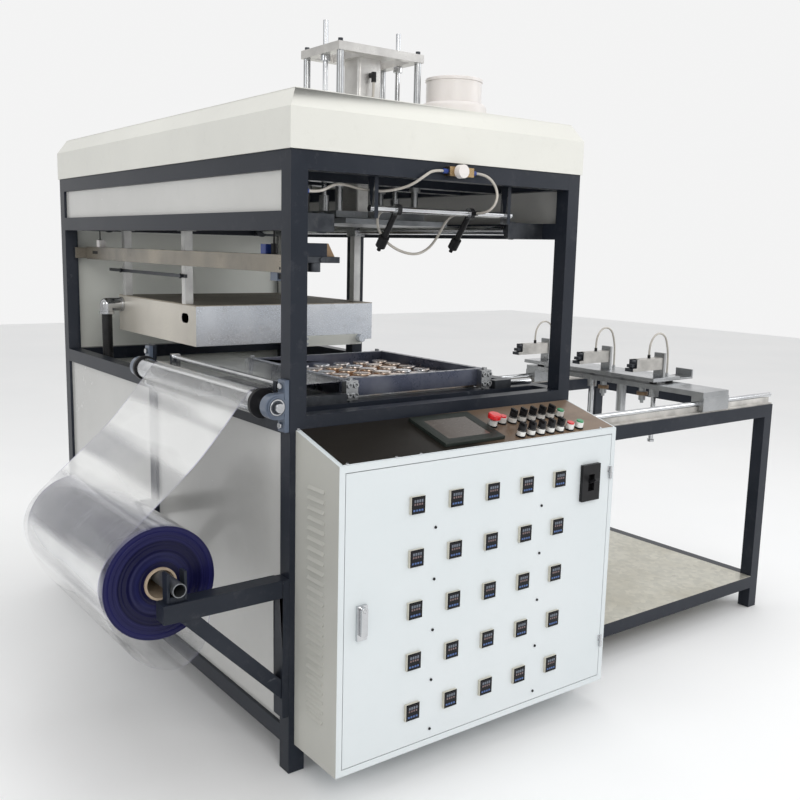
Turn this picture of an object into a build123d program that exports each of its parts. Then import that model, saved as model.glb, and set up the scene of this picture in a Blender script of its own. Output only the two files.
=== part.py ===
from build123d import *
from math import asin, atan2, cos, hypot, pi, radians, sin, sqrt, tan
import os

os.makedirs("parts", exist_ok=True)

# All lengths are in millimetres. X runs along the front in the direction of the film, Y to the back, Z up.
# The drawing origin is the floor at the near left post. The whole machine is centred over its origin at the end.

# Clearances
gap = 0.3            # between faces of pieces that move past each other
fit = 0.05           # radial, between a shaft and its bore
seat = 0.1           # radial, between a fixed bar and its hole

# Main frame of square tube
frame_w = 1060
frame_d = 1870
frame_h = 1708
tube = 50
tube_wall = 2.5
end_plate = 5        # thickness of the plates that close the posts
bottom_z = 80        # undersides of the four levels of beams
mid_z = 968
second_z = 1504
left_post_y = 912    # near face of the lower post in the left side
right_post_y = 1209  # near face of the upper post in the right side
floor_rail_y = (1100, 1380)  # near faces of the two cross rails under the vacuum unit

# Panels and hood
panel_t = 2
panel_inset = 10
panel_fit = 0.3      # between a panel's edge and the tube beside it
hood_over = 5
hood_side = 103
hood_slope = 51
hood_inset = 32
hood_t = 2

# Electric cabinet in front of the frame
cab_left = 18
cab_right_in = 6     # from the frame's right side to the cabinet's
cab_d = 213
cab_bottom = 84
cab_front_h = 925
cab_back_h = 982
cab_t = 2
door_rim = 20        # width of the fixed rim round the door
door_gap = 2
door_fold = 18       # depth of the door's folded edge
hinge_d = 10
hinge_len = 40
hinge_inset = 120    # from the door's ends to the middle of each hinge
louvre_n = 24
louvre_w = 80
louvre_h = 9
louvre_out = 6
louvre_pitch = 27.5
louvre_top = 850

# Temperature controllers, breaker and lock in the door
ctrl_side = 48
ctrl_body = 45
ctrl_face = 8
ctrl_deep = 60
ctrl_nx = 5
ctrl_nz = 5
ctrl_pitch_x = 135
ctrl_pitch_z = 147
ctrl_left = 264      # middle of the first column
ctrl_top = 793       # middle of the top row
breaker_w = 78
breaker_h = 115
breaker_x = 939
breaker_z = 765
breaker_face = 12
breaker_in = 4       # how far the breaker's body is smaller than its face, all round
breaker_deep = 40
slot_w = 26
slot_h = 52
slot_deep = 16
toggle_t = 16
toggle_len = 34
toggle_pin = 4
toggle_up = 25       # degrees above level at rest
lock_w = 31
lock_h = 95
lock_x = 89.5
lock_z = 503
lock_t = 9
lever_w = 20
lever_len = 78
lever_t = 11
lever_pin = 10
door_screw_d = 8
door_screw_h = 3

# Sloping control sheet with screen, selectors and buttons
sheet_t = 3
sheet_side = 11      # from the sheet's edge to the cabinet's side
sheet_rim = 3        # from the sheet's edge to the front and back of the slope
screen_x = 483
screen_s = 107
screen_w = 220
screen_len = 175
screen_t = 10
glass_w = 156
glass_len = 118
glass_t = 1.5
knob_pitch = 40
knob_n = 5
knob_rows = ((703, 111), (659, 24))        # first middle in X, distance up the slope
button_row_x = (905, 863, 907)             # green, red, green
button_row_s = (111, 24, 27)
bezel_d = 30
bezel_h = 5
body_d = 26
body_h = 16
knob_d = 24
knob_h = 14
grip_w = 8
grip_h = 8
stem_d = 8
stem_len = 12
press_d = 22
press_h = 16
press_travel = 4
press_wall = 1.6
stop_x = 618
stop_s = 104
stop_d = 40
stop_h = 14
stop_travel = 5
small_x = 664
small_s = 115

# Table frame at the right with its shelf
table_x = 2281
table_d = 950
table_top = 868
shelf_z = 136
shelf_t = 2

# Roll stand on the left side
arm_z = 522
arm_x = 355
bar_t = 20
bar_bottom = 172
brace_w = 40
brace_x = 286        # where the brace's middle line meets the arm
cradle_block = 16
cradle_t = 8
cradle_h = 78
cradle_y = 30
pipe_d = 38
pipe_wall = 3
pipe_over = 5
roll_x = 317.5

# Film
film_w = 660
film_mid_y = 448
film_t = 0.5
roll_d = 306
core_bore = 76
core_wall = 6
core_over = 6
film_start = -10     # degrees round the roll where the film leaves it
film_end_x = 276

# Guide roller and pillow blocks
roller_d = 70
roller_wall = 3
roller_y = (92, 894)
disc_d = 82
disc_t = 14
shaft_d = 25
block_h = 36.5
block_len = 140
block_w = 38
block_t = 14
block_dome = 34
block_bolts = 105
block_y = 22
bolt_af = 17
bolt_h = 8
far_plate_t = 10
far_plate_z = 1122

# Film bar
bar_d = 16
film_bar_x = 25
bracket_t = 16
bracket_w = 30
bracket_gap = 8      # between the film's edges and the brackets

# Forming station
forming_top = 1082
form_x = (270, 830)
form_d = 580
form_h = 52
form_wall = 20
corner_w = 42
corner_t = 24
corner_pin = 16
corner_bolt = 18
corner_bolt_h = 6
bed_beam_gap = 5     # between the mould table and each bed beam
table_edge = 15      # from the forming frame's outside to the mould table's
mould_table_h = 35
mould_fit = 6        # between the mould plate and the inside of the forming frame
mould_plate_t = 20
cup_n = 6
cup_d = 60
cup_pitch = 84
cup_h = 18
cup_round = 5
mould_stroke = 100
guide_pin = 20
guide_pin_in = 60
guide_pin_len = 300
lower_plate_z = 745
lower_plate_t = 15
tie_d = 20
tie_in = 50
cyl_d = 80
cyl_wall = 6
cyl_len = 190
cyl_rod = 25
cyl_cap = 14
arm_h = 27
arm_w = 30
side_shaft = 20

# Heater: box on a trolley
heat_x = (155, 901)
heat_y = 913
heat_len = 735
heat_z = 1108
heat_h = 143
heat_t = 2
heat_top_t = 3
reflector_up = 46    # from the box's lower edge to the reflector
reflector_t = 2
element_w = 60
element_len = 200
element_t = 18
element_foot = 9
element_nx = 3
element_ny = 8
element_px = 238
element_py = 88
seam_x = (590, 850)
seam_t = 6
seam_z = (1090, 1130)
seam_knob = 30
hole_w = 60
hole_h = 34
hole_y = 1005
hole_z = 1202
column = 30
column_x = 15        # from the box's side to the column's middle
column_y = 101       # from the box's front to the first column's middle
column_pitch = 576
slide_d = 30         # the round bars that the trolley slides on
slide_front = 118    # from the frame's front to the bars
slide_back = 78      # from the bars to the frame's back
slide_plate = 12
slide_over = 30      # from the bar's middle to the end plate's end
slide_ring = 58
slide_ring_t = 14
slide_block = 46
slide_block_len = 60
tie_bar_t = 8
tie_bar_h = 12
tie_bar_z = 1350
tie_bar_over = 140   # behind the far column
tie_clip = 34
elbow_y = 1612
elbow_z = 1214
elbow_out = 65       # from the box's side to the hose's middle
elbow_tube = 52
elbow_wall = 3
elbow_bend = 12      # from the elbow's side to its inner corner
elbow_collar = 10
hose_d = 42

# Sensor beam along the left side
sense_x = 76         # from the frame's side to the beam's near face
sense_w = 30
sense_h = 50
sense_top = 1440
sense_front = 100    # from the frame's front to the beam
sense_back = 76      # from the beam to the frame's back
sense_wall = 3
sense_foot = 20      # how far the far bracket reaches over the post's face
sense_foot_in = 3    # from the beam's faces to the bracket's
stub_len = 60
stub_h = 35
stop_plate_x = 150
stop_plate_t = 16
stop_plate_down = 2  # from the beam's top to the plate's
stop_side = 20       # how much narrower the side sheet is at its top
stop_side_t = 4
stop_knob = 34
stop_knob_h = 24
stop_knob_x = 80
stop_bolt = 14
stop_bolt_h = 6
sensor_ys = (262, 1690)
sensor_d = 18
sensor_h = 30
sensor_x = 98
sensor_body = (26, 30, 28)
sensor_apart = 14    # from the plug's middle to the sensor's body
sensor_gland = 6

# Press unit through the hood
press_x = 524
press_y = 455
base_w = 342
base_d = 240
base_t = 20
top_w = 322
top_side = 34        # the top plate's rails beside its two windows
top_front = 24
top_middle = 56      # from the press unit's middle to each window
top_d = 220
top_t = 25
press_up = 185       # from the hood's top to the press unit's top plate
pillar_d = 22
pillar_in = 14
pillar_ring = 38
pillar_ring_h = 12
guide_d = 16
guide_over = 78      # from the top plate to the top of the guide rods
guide_in = 22
collar_d = 30
collar_h = 18
bush_d = 32
bush_h = 50
press_cyl_d = 90
press_cyl_wall = 6
press_cyl_round = 12
press_rod = 25
press_cap = 18
press_piston = 20
platen_w = 390
platen_d = 420
platen_t = 16
platen_down = 4      # from the base plate to the platen
press_stroke = 400
head_d = 15
head_h = 10

# Barrel on the hood
barrel_in = 244      # from the frame's right side to the barrel's middle
barrel_y = 350
barrel_d = 218
barrel_h = 72
neck_d = 182
neck_h = 68
barrel_wall = 4
lid_h = 10

# Spray bar and air manifold under and on the front top beam
spray_d = 18
spray_y = 55
spray_z = 1572
spray_x = (280, 815)
strap_x = (293, 793)
strap_t = 13
strap_w = 32
strap_z = 1545
nozzle_x = (376, 649)
eye_d = 32
eye_w = 16
nozzle_arm = 18
nozzle_end = (112, 1496)
nozzle_d = 30
nozzle_len = 34
nozzle_tip = 12
nozzle_tip_len = 14
manifold_x = (500, 590)
manifold_z = (1670, 1696)
manifold_t = 25
air_fit_d = 13
air_fit_len = 16
gauge_d = 38
gauge_t = 22
air_d = 8
cable_d = 5
cable_rise = 68      # from the sensor's plug to the gland on the second beam
post_fit_y = 25
post_fit_z = 1606
hood_fitting_h = 14
hood_fit_x = 14      # from the press cylinder's port to its fitting in the hood
hood_fit_y = 12
port_out = 18        # the port elbow of the press cylinder
port_down = 22

# Puller on the table
rail_shaft_d = 20
rail_shaft_z = 904
rail_shaft_over = 9
rail_start = 4
support_w = 40
support_t = 6
support_web = 10
plate_x = (1803, 1965)
plate_z = 930
plate_t = 20
runner_over = 3
runner_gap = 2
lift_h = 60
bumper_h = 10
bumper_d = 30
grip_table_x = (1796, 1966)
grip_table_y = (230, 960)
grip_table_t = 15
column_d = 20
column_ys = (290, 621)
column_foot_z = 712
column_x_mid = 1880
nut_d = 28
nut_h = 55
nut_ys = (348, 557)
lift_d = 40
lift_len = 125
lift_y = 457
lift_rod = 14
clamp_ys = (262, 540, 900)
clamp_plate_t = 12
clamp_plate_w = 50
clamp_plate_h = 98
clamp_x = 1870
clamp_body_x = 1728
clamp_tip_x = 1681
clamp_w = 40
clamp_z = (1007, 1054)
clamp_ear = 7
clamp_pin = 8
clamp_pin_x = 1714
clamp_pin_z = 1040
clamp_hub = 20
clamp_lip = 13
jaw_t = 12
jaw_z = 1024
top_fit_d = 12
top_fit_h = 14
side_plate_x = 2050
side_plate_y = 310
side_plate_t = 8
side_plate_h = 38

# Vacuum unit at the bottom of the frame
tank_d = 260
tank_len = 620
tank_wall = 4
tank_x = 640
saddle_t = 12
saddle_h = 40
pump_w = 180
pump_len = 260
pump_h = 200
pump_x = 224
motor_d = 150
motor_len = 220
vac_pipe = 40
term_side = 80
term_h = 80
term_y = 1240
gland_d = 50
gland_h = 20

nodes = {}


# Puts solids, or lists of them, into a node.
def put(node, *shapes):
    for shape in shapes:
        if isinstance(shape, (list, tuple)):
            put(node, *shape)
        else:
            nodes.setdefault(node, []).extend(shape.solids())


# A block between two limits on each axis.
def block(x, y, z):
    middle = Pos((x[0] + x[1]) / 2, (y[0] + y[1]) / 2, (z[0] + z[1]) / 2)
    return middle * Box(x[1] - x[0], y[1] - y[0], z[1] - z[0])


# A rectangular tube between the same limits, open at its two ends along one axis.
def hollow(along, x, y, z, wall=tube_wall):
    inner = [(low + wall, high - wall) for low, high in (x, y, z)]
    inner["XYZ".index(along)] = (x, y, z)["XYZ".index(along)]
    return block(x, y, z) - block(*inner)


# A round bar between two points, with a bore where one is given.
def bar(d, start, end, bore=0):
    line = Vector(*end) - Vector(*start)
    at = Plane(origin=Vector(*start), z_dir=line)
    solid = extrude(at * Circle(d / 2), line.length)
    if bore:
        solid -= extrude(at * Circle(bore / 2), line.length)
    return solid


# A hexagon bolt head or nut between two points.
def hexagon(across, start, end):
    line = Vector(*end) - Vector(*start)
    at = Plane(origin=Vector(*start), z_dir=line)
    return extrude(at * RegularPolygon(across / 2, 6, major_radius=False), line.length)


# A tube along straight runs joined by tangent arcs. Each arc is as large as its two runs allow.
def cord(name, d, points):
    spots = [Vector(*p) for p in points]
    runs = [b - a for a, b in zip(spots, spots[1:])]
    radii = []
    for one, two in zip(runs, runs[1:]):
        turn = radians(one.get_angle(two))
        radii.append(0.45 * min(one.length, two.length) / tan(turn / 2))
    path = FilletPolyline(*spots, radius=radii)
    at = Plane(origin=spots[0], z_dir=runs[0])
    solid = sweep(at * Circle(d / 2), path=path)
    whole = pi * d * d / 4 * path.length
    print(name, "length", round(path.length), "volume ratio", round(solid.volume / whole, 3),
          "radii", [round(r) for r in radii])
    return solid


# Main frame

left = (0, tube)
right = (frame_w - tube, frame_w)
front = (0, tube)
back = (frame_d - tube, frame_d)
inside_x = (tube, frame_w - tube)
inside_y = (tube, frame_d - tube)
top_beam_z = frame_h - tube
mid_top = mid_z + tube
second_top = second_z + tube

for x in (left, right):
    for y in (front, back):
        put("main_frame", hollow("Z", x, y, (end_plate, frame_h - end_plate)))
        put("main_frame", block(x, y, (0, end_plate)), block(x, y, (frame_h - end_plate, frame_h)))
for z in (bottom_z, mid_z, second_z, top_beam_z):
    level = (z, z + tube)
    for x in (left, right):
        put("main_frame", hollow("Y", x, inside_y, level))
    put("main_frame", hollow("X", inside_x, back, level))
    if z != second_z:
        put("main_frame", hollow("X", inside_x, front, level))
low_bay = (bottom_z + tube, mid_z)
for x in (left, right):
    put("main_frame", hollow("Z", x, (left_post_y, left_post_y + tube), low_bay))
put("main_frame", hollow("Z", right, (right_post_y, right_post_y + tube), (mid_top, second_z)))
for y in floor_rail_y:
    put("main_frame", hollow("X", inside_x, (y, y + tube), (bottom_z, bottom_z + tube)))

# Panels set into the bays

bays_y = [(tube, left_post_y), (left_post_y + tube, frame_d - tube)]
for x in (panel_inset, frame_w - panel_inset - panel_t):
    sheet_x = (x, x + panel_t)
    for y0, y1 in bays_y:
        put("frame_panels", block(sheet_x, (y0 + panel_fit, y1 - panel_fit),
                                 (low_bay[0] + panel_fit, low_bay[1] - panel_fit)))
    put("frame_panels", block(sheet_x, (tube + panel_fit, frame_d - tube - panel_fit),
                             (second_top + panel_fit, top_beam_z - panel_fit)))
rear_y = (frame_d - panel_inset - panel_t, frame_d - panel_inset)
for z0, z1 in (low_bay, (mid_top, second_z), (second_top, top_beam_z)):
    put("rear_panel", block((tube + panel_fit, frame_w - tube - panel_fit), rear_y,
                            (z0 + panel_fit, z1 - panel_fit)))

# Hood of folded sheet, with holes where the press unit passes

hood_x = (-hood_over, frame_w + hood_over)
hood_y = (-hood_over, frame_d + hood_over)
hood_fold = frame_h + hood_side
hood_top = hood_fold + hood_slope
pillar_xs = [press_x + s * (top_w / 2 - pillar_in) for s in (-1, 1)]
pillar_ys = [press_y + s * (top_d / 2 - pillar_in) for s in (-1, 1)]
guide_xs = [press_x + s * (top_w / 2 - guide_in) for s in (-1, 1)]
top_z = hood_top + press_up
guide_top = top_z + top_t + guide_over

hood_sides = (frame_h, hood_fold)
put("top_hood", block(hood_x, (hood_y[0], hood_y[0] + hood_t), hood_sides))
put("top_hood", block(hood_x, (hood_y[1] - hood_t, hood_y[1]), hood_sides))
for x in (hood_x[0], hood_x[1] - hood_t):
    put("top_hood", block((x, x + hood_t), (hood_y[0] + hood_t, hood_y[1] - hood_t), hood_sides))


# The press cylinder's outer profile: a square block with round edges, between two heights.
def profile(side, z):
    half = side / 2
    solid = block((press_x - half, press_x + half), (press_y - half, press_y + half), z)
    return fillet(solid.edges().filter_by(Axis.Z), press_cyl_round)


# One sloping strip of the hood: its lower edge and its upper edge are rectangles.
def strip(x, y, move_x, move_y):
    faces = []
    for share, z in ((0, hood_fold), (1, hood_top - hood_t)):
        inset = share * (hood_inset - hood_t)
        xs = (x[0] + inset * move_x[0], x[1] + inset * move_x[1])
        ys = (y[0] + inset * move_y[0], y[1] + inset * move_y[1])
        at = Pos((xs[0] + xs[1]) / 2, (ys[0] + ys[1]) / 2, z)
        faces.append(at * Rectangle(xs[1] - xs[0], ys[1] - ys[0]))
    return loft(faces, ruled=True)


put("top_hood", strip(hood_x, (hood_y[0], hood_y[0] + hood_t), (1, -1), (1, 1)))
put("top_hood", strip(hood_x, (hood_y[1] - hood_t, hood_y[1]), (1, -1), (-1, -1)))
side_run = (hood_y[0] + hood_t, hood_y[1] - hood_t)
put("top_hood", strip((hood_x[0], hood_x[0] + hood_t), side_run, (1, 1), (1, -1)))
put("top_hood", strip((hood_x[1] - hood_t, hood_x[1]), side_run, (-1, -1), (1, -1)))
lid_in = hood_inset - hood_t
lid = block((hood_x[0] + lid_in, hood_x[1] - lid_in), (hood_y[0] + lid_in, hood_y[1] - lid_in),
            (hood_top - hood_t, hood_top))
cut = (hood_top - 2 * hood_t, hood_top + hood_t)
for x in pillar_xs:
    for y in pillar_ys:
        lid -= bar(pillar_d + 2 * gap, (x, y, cut[0]), (x, y, cut[1]))
for x in guide_xs:
    lid -= bar(guide_d + 2 * gap, (x, press_y, cut[0]), (x, press_y, cut[1]))
lid -= profile(press_cyl_d + 2 * gap, cut)
put("top_hood", lid)

# Cabinet: sheet walls, rim round the door, sloping top, louvres

cab_right = frame_w - cab_right_in
cab_x = (cab_left, cab_right)
cab_front = -cab_d
slope = atan2(cab_back_h - cab_front_h, cab_d)
slope_len = hypot(cab_back_h - cab_front_h, cab_d)


# A point on the sloping top, at a distance up the slope and a height off it.
def on_slope(x, s, h):
    return (x, cab_front + s * cos(slope) - h * sin(slope), cab_front_h + s * sin(slope) + h * cos(slope))


# A block standing on the sloping top.
def slope_block(x, s, h):
    at = Plane(origin=on_slope((x[0] + x[1]) / 2, (s[0] + s[1]) / 2, h[0]), x_dir=(1, 0, 0),
               z_dir=(0, -sin(slope), cos(slope)))
    return extrude(at * Rectangle(x[1] - x[0], s[1] - s[0]), h[1] - h[0])


# A round piece standing on the sloping top.
def slope_bar(d, x, s, low, high, bore=0):
    return bar(d, on_slope(x, s, low), on_slope(x, s, high), bore)


top_drop = cab_t / cos(slope)
for x in (cab_left, cab_right - cab_t):
    side = Polyline((x, cab_front, cab_bottom), (x, 0, cab_bottom), (x, 0, cab_back_h - top_drop),
                    (x, cab_front, cab_front_h - top_drop), close=True)
    put("cabinet_shell", extrude(make_face(side), cab_t, dir=(1, 0, 0)))
in_x = (cab_left + cab_t, cab_right - cab_t)
put("cabinet_shell", block(in_x, (cab_front, 0), (cab_bottom, cab_bottom + cab_t)))
put("cabinet_shell", block(in_x, (-cab_t, 0), (cab_bottom + cab_t, cab_back_h - top_drop - cab_t)))
cover = Polyline((cab_left, cab_front, cab_front_h - top_drop), (cab_left, cab_front, cab_front_h),
                 (cab_left, 0, cab_back_h), (cab_left, 0, cab_back_h - top_drop), close=True)
put("cabinet_shell", extrude(make_face(cover), cab_right - cab_left, dir=(1, 0, 0)))
rim_y = (cab_front, cab_front + cab_t)
rim_z = (cab_bottom + cab_t, cab_front_h - top_drop)
door_z = (cab_bottom + door_rim, cab_front_h - door_rim)
door_x = (cab_left + door_rim, cab_right - door_rim)
put("cabinet_shell", block((in_x[0], door_x[0] - door_gap), rim_y, rim_z))
put("cabinet_shell", block((door_x[1] + door_gap, in_x[1]), rim_y, rim_z))
rim_in = (door_x[0] - door_gap, door_x[1] + door_gap)
put("cabinet_shell", block(rim_in, rim_y, (rim_z[0], door_z[0] - door_gap)))
put("cabinet_shell", block(rim_in, rim_y, (door_z[1] + door_gap, rim_z[1])))
louvre_mid = cab_front + cab_d / 2
for i in range(louvre_n):
    z = louvre_top - i * louvre_pitch
    wedge = Polyline((cab_left, louvre_mid - louvre_w / 2, z), (cab_left, louvre_mid - louvre_w / 2, z - louvre_h),
                     (cab_left - louvre_out, louvre_mid - louvre_w / 2, z - louvre_h), close=True)
    put("cabinet_shell", extrude(make_face(wedge), louvre_w, dir=(0, 1, 0)))
hinge_x = door_x[1] + door_gap / 2
hinge_y = cab_front - hinge_d / 2
hinge_zs = (door_z[0] + hinge_inset, door_z[1] - hinge_inset)
for z in hinge_zs:
    knuckle = bar(hinge_d, (hinge_x, hinge_y, z - hinge_len / 2), (hinge_x, hinge_y, z - gap))
    leaf = block((hinge_x, hinge_x + hinge_d), (cab_front - 2, cab_front), (z - hinge_len / 2, z - gap))
    pin = bar(hinge_d / 2, (hinge_x, hinge_y, z - gap), (hinge_x, hinge_y, z + hinge_len / 2 - gap))
    put("cabinet_shell", knuckle + leaf + pin)

# Door: front sheet and folded edges, cut for the instruments

door_y = (cab_front, cab_front + cab_t)
door = block(door_x, door_y, door_z)
for x in (door_x[0], door_x[1] - cab_t):
    door += block((x, x + cab_t), (cab_front, cab_front + door_fold), door_z)
for z in (door_z[0], door_z[1] - cab_t):
    door += block(door_x, (cab_front, cab_front + door_fold), (z, z + cab_t))
ctrl_xs = [ctrl_left + i * ctrl_pitch_x for i in range(ctrl_nx)]
ctrl_zs = [ctrl_top - i * ctrl_pitch_z for i in range(ctrl_nz)]
through = (cab_front - cab_t, cab_front + 2 * cab_t)
hole = ctrl_body / 2 + seat
for x in ctrl_xs:
    for z in ctrl_zs:
        door -= block((x - hole, x + hole), through, (z - hole, z + hole))
breaker_xs = (breaker_x - breaker_w / 2, breaker_x + breaker_w / 2)
breaker_zs = (breaker_z - breaker_h / 2, breaker_z + breaker_h / 2)
door -= block((breaker_xs[0] + breaker_in - seat, breaker_xs[1] - breaker_in + seat), through,
              (breaker_zs[0] + breaker_in - seat, breaker_zs[1] - breaker_in + seat))
for z in hinge_zs:
    sleeve = bar(hinge_d, (hinge_x, hinge_y, z), (hinge_x, hinge_y, z + hinge_len / 2), hinge_d / 2 + 2 * fit)
    leaf = block((hinge_x - hinge_d, hinge_x), (cab_front - 2, cab_front), (z, z + hinge_len / 2))
    leaf -= bar(hinge_d / 2 + 2 * fit, (hinge_x, hinge_y, z), (hinge_x, hinge_y, z + hinge_len / 2))
    door += sleeve + leaf
put("cabinet_door", door)
screw_xs = [(ctrl_xs[i] + ctrl_xs[i + 1]) / 2 for i in (0, ctrl_nx - 2)]
for x in screw_xs:
    for z in ctrl_zs:
        put("cabinet_door", bar(door_screw_d, (x, cab_front, z - ctrl_pitch_z / 2),
                                (x, cab_front - door_screw_h, z - ctrl_pitch_z / 2)))

for x in ctrl_xs:
    for z in ctrl_zs:
        face = block((x - ctrl_side / 2, x + ctrl_side / 2), (cab_front - ctrl_face, cab_front),
                     (z - ctrl_side / 2, z + ctrl_side / 2))
        body = block((x - ctrl_body / 2, x + ctrl_body / 2), (cab_front, cab_front + ctrl_deep),
                     (z - ctrl_body / 2, z + ctrl_body / 2))
        put("door_instruments", face + body)
breaker = block(breaker_xs, (cab_front - breaker_face, cab_front), breaker_zs)
breaker += block((breaker_xs[0] + breaker_in, breaker_xs[1] - breaker_in), (cab_front, cab_front + breaker_deep),
                 (breaker_zs[0] + breaker_in, breaker_zs[1] - breaker_in))
slot_y = (cab_front - breaker_face, cab_front - breaker_face + slot_deep)
breaker -= block((breaker_x - slot_w / 2, breaker_x + slot_w / 2), slot_y,
                 (breaker_z - slot_h / 2, breaker_z + slot_h / 2))
toggle_y = slot_y[0] + slot_deep / 2
breaker += bar(toggle_pin, (breaker_x - slot_w / 2, toggle_y, breaker_z), (breaker_x + slot_w / 2, toggle_y, breaker_z))
put("door_instruments", breaker)
toggle = bar(toggle_pin * 2.5, (breaker_x - toggle_t / 2, toggle_y, breaker_z),
             (breaker_x + toggle_t / 2, toggle_y, breaker_z))
tip = (toggle_y - toggle_len * cos(radians(toggle_up)), breaker_z + toggle_len * sin(radians(toggle_up)))
arm = Plane(origin=(breaker_x, toggle_y, breaker_z), x_dir=(1, 0, 0),
            z_dir=(0, tip[0] - toggle_y, tip[1] - breaker_z))
toggle += extrude(arm * Rectangle(toggle_t, toggle_pin * 2), toggle_len)
toggle -= bar(toggle_pin + 2 * fit, (breaker_x - toggle_t, toggle_y, breaker_z),
              (breaker_x + toggle_t, toggle_y, breaker_z))
put("breaker_toggle", toggle)

lock_zs = (lock_z - lock_h / 2, lock_z + lock_h / 2)
lever_z = lock_zs[1] - lever_w / 2 - 2
put("cabinet_door", block((lock_x - lock_w / 2, lock_x + lock_w / 2), (cab_front - lock_t, cab_front), lock_zs)
    + bar(lever_pin, (lock_x, cab_front - lock_t, lever_z), (lock_x, cab_front - lock_t - lever_t, lever_z)))
lever_y = (cab_front - lock_t - gap - lever_t, cab_front - lock_t - gap)
lever = block((lock_x - lever_w / 2, lock_x + lever_w / 2), lever_y, (lever_z - lever_len + lever_w / 2, lever_z))
lever += bar(lever_w, (lock_x, lever_y[0], lever_z), (lock_x, lever_y[1], lever_z))
lever -= bar(lever_pin + 2 * fit, (lock_x, lever_y[0], lever_z), (lock_x, lever_y[1], lever_z))
put("lock_handle", lever)

# Control sheet, screen and the fixed bodies of the controls

sheet_x = (cab_left + sheet_side, cab_right - sheet_side)
put("control_panel", slope_block(sheet_x, (sheet_rim, slope_len - sheet_rim), (0, sheet_t)))
screen_h = (sheet_t, sheet_t + screen_t)
housing = slope_block((screen_x - screen_w / 2, screen_x + screen_w / 2),
                      (screen_s - screen_len / 2, screen_s + screen_len / 2), screen_h)
housing -= slope_block((screen_x - glass_w / 2, screen_x + glass_w / 2),
                       (screen_s - glass_len / 2, screen_s + glass_len / 2),
                       (screen_h[1] - glass_t, screen_h[1]))
put("control_panel", housing)
put("touch_screen", slope_block((screen_x - glass_w / 2 + seat, screen_x + glass_w / 2 - seat),
                                (screen_s - glass_len / 2 + seat, screen_s + glass_len / 2 - seat),
                                (screen_h[1] - glass_t, screen_h[1] - glass_t / 3)))

knob_spots = [(x0 + i * knob_pitch, s) for x0, s in knob_rows for i in range(knob_n)]
body_top = sheet_t + bezel_h + body_h
for x, s in knob_spots:
    body = slope_bar(bezel_d, x, s, sheet_t, sheet_t + bezel_h)
    body += slope_bar(body_d, x, s, sheet_t + bezel_h, body_top)
    body -= slope_bar(stem_d + 2 * fit, x, s, body_top - stem_len - 1, body_top)
    put("control_bezels", body)
low = body_top + gap
for number, (x, s) in enumerate(knob_spots, 1):
    knob = slope_bar(knob_d, x, s, low, low + knob_h)
    knob += slope_block((x - grip_w / 2, x + grip_w / 2), (s - knob_d / 2, s + knob_d / 2),
                        (low + knob_h, low + knob_h + grip_h))
    knob += slope_bar(stem_d, x, s, low - stem_len, low)
    put("selector_%02d" % number, knob)

spots = list(zip(button_row_x, button_row_s)) + [(small_x, small_s)]
for name, (x, s) in zip(("green_button_1", "red_button_1", "green_button_2", "red_button_2"), spots):
    ring = slope_bar(bezel_d, x, s, sheet_t, sheet_t + bezel_h)
    ring += slope_bar(press_d + 2 * gap + 2 * press_wall, x, s, sheet_t + bezel_h, body_top)
    ring -= slope_bar(press_d + 2 * gap, x, s, sheet_t + bezel_h, body_top)
    ring -= slope_bar(stem_d + 2 * fit, x, s, sheet_t, sheet_t + bezel_h)
    put("control_bezels", ring)
    floor_h = sheet_t + bezel_h + press_travel + gap
    button = slope_bar(press_d, x, s, floor_h, floor_h + press_h)
    button += slope_bar(stem_d, x, s, sheet_t + press_travel + gap, floor_h)
    put(name, button)
ring = slope_bar(bezel_d, stop_x, stop_s, sheet_t, sheet_t + bezel_h)
ring += slope_bar(body_d, stop_x, stop_s, sheet_t + bezel_h, body_top)
ring -= slope_bar(stem_d + 2 * fit, stop_x, stop_s, body_top - stem_len - stop_travel - 1, body_top)
put("control_bezels", ring)
mushroom = slope_bar(stop_d, stop_x, stop_s, body_top + stop_travel + gap, body_top + stop_travel + gap + stop_h)
mushroom = fillet(mushroom.edges().group_by(Axis((0, 0, 0), (0, -sin(slope), cos(slope))))[-1], stop_h / 3)
mushroom += slope_bar(stem_d, stop_x, stop_s, body_top - stem_len, body_top + stop_travel + gap)
put("emergency_stop", mushroom)

# Table frame, its shelf and the puller's rails

table_left = frame_w
leg = (table_x - tube, table_x)
near = (0, tube)
far = (table_d - tube, table_d)
table_zs = (table_top - tube, table_top)
shelf_zs = (shelf_z - tube, shelf_z)
for y in (near, far):
    put("table_frame", hollow("Z", leg, y, (end_plate, table_top - end_plate)))
    put("table_frame", block(leg, y, (0, end_plate)), block(leg, y, (table_top - end_plate, table_top)))
first_leg = (table_left, table_left + tube)
put("table_frame", hollow("Z", first_leg, far, (end_plate, table_zs[0])), block(first_leg, far, (0, end_plate)))
put("table_frame", hollow("X", (table_left, leg[0]), near, table_zs))
put("table_frame", hollow("X", (table_left, leg[0]), far, table_zs))
put("table_frame", hollow("Y", leg, (near[1], far[0]), table_zs))
put("table_frame", hollow("X", (table_left, leg[0]), near, shelf_zs))
put("table_frame", hollow("X", (first_leg[1], leg[0]), far, shelf_zs))
put("table_frame", hollow("Y", leg, (near[1], far[0]), shelf_zs))
put("table_frame", hollow("Y", first_leg, (near[1], far[0]), shelf_zs))
shelf = block((table_left + panel_fit, leg[0] - panel_fit), (panel_fit, table_d - panel_fit),
              (shelf_z, shelf_z + shelf_t))
shelf -= block((table_left, first_leg[1] + panel_fit), (far[0] - panel_fit, table_d), (shelf_z, shelf_z + shelf_t))
put("table_shelf", shelf)

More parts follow.
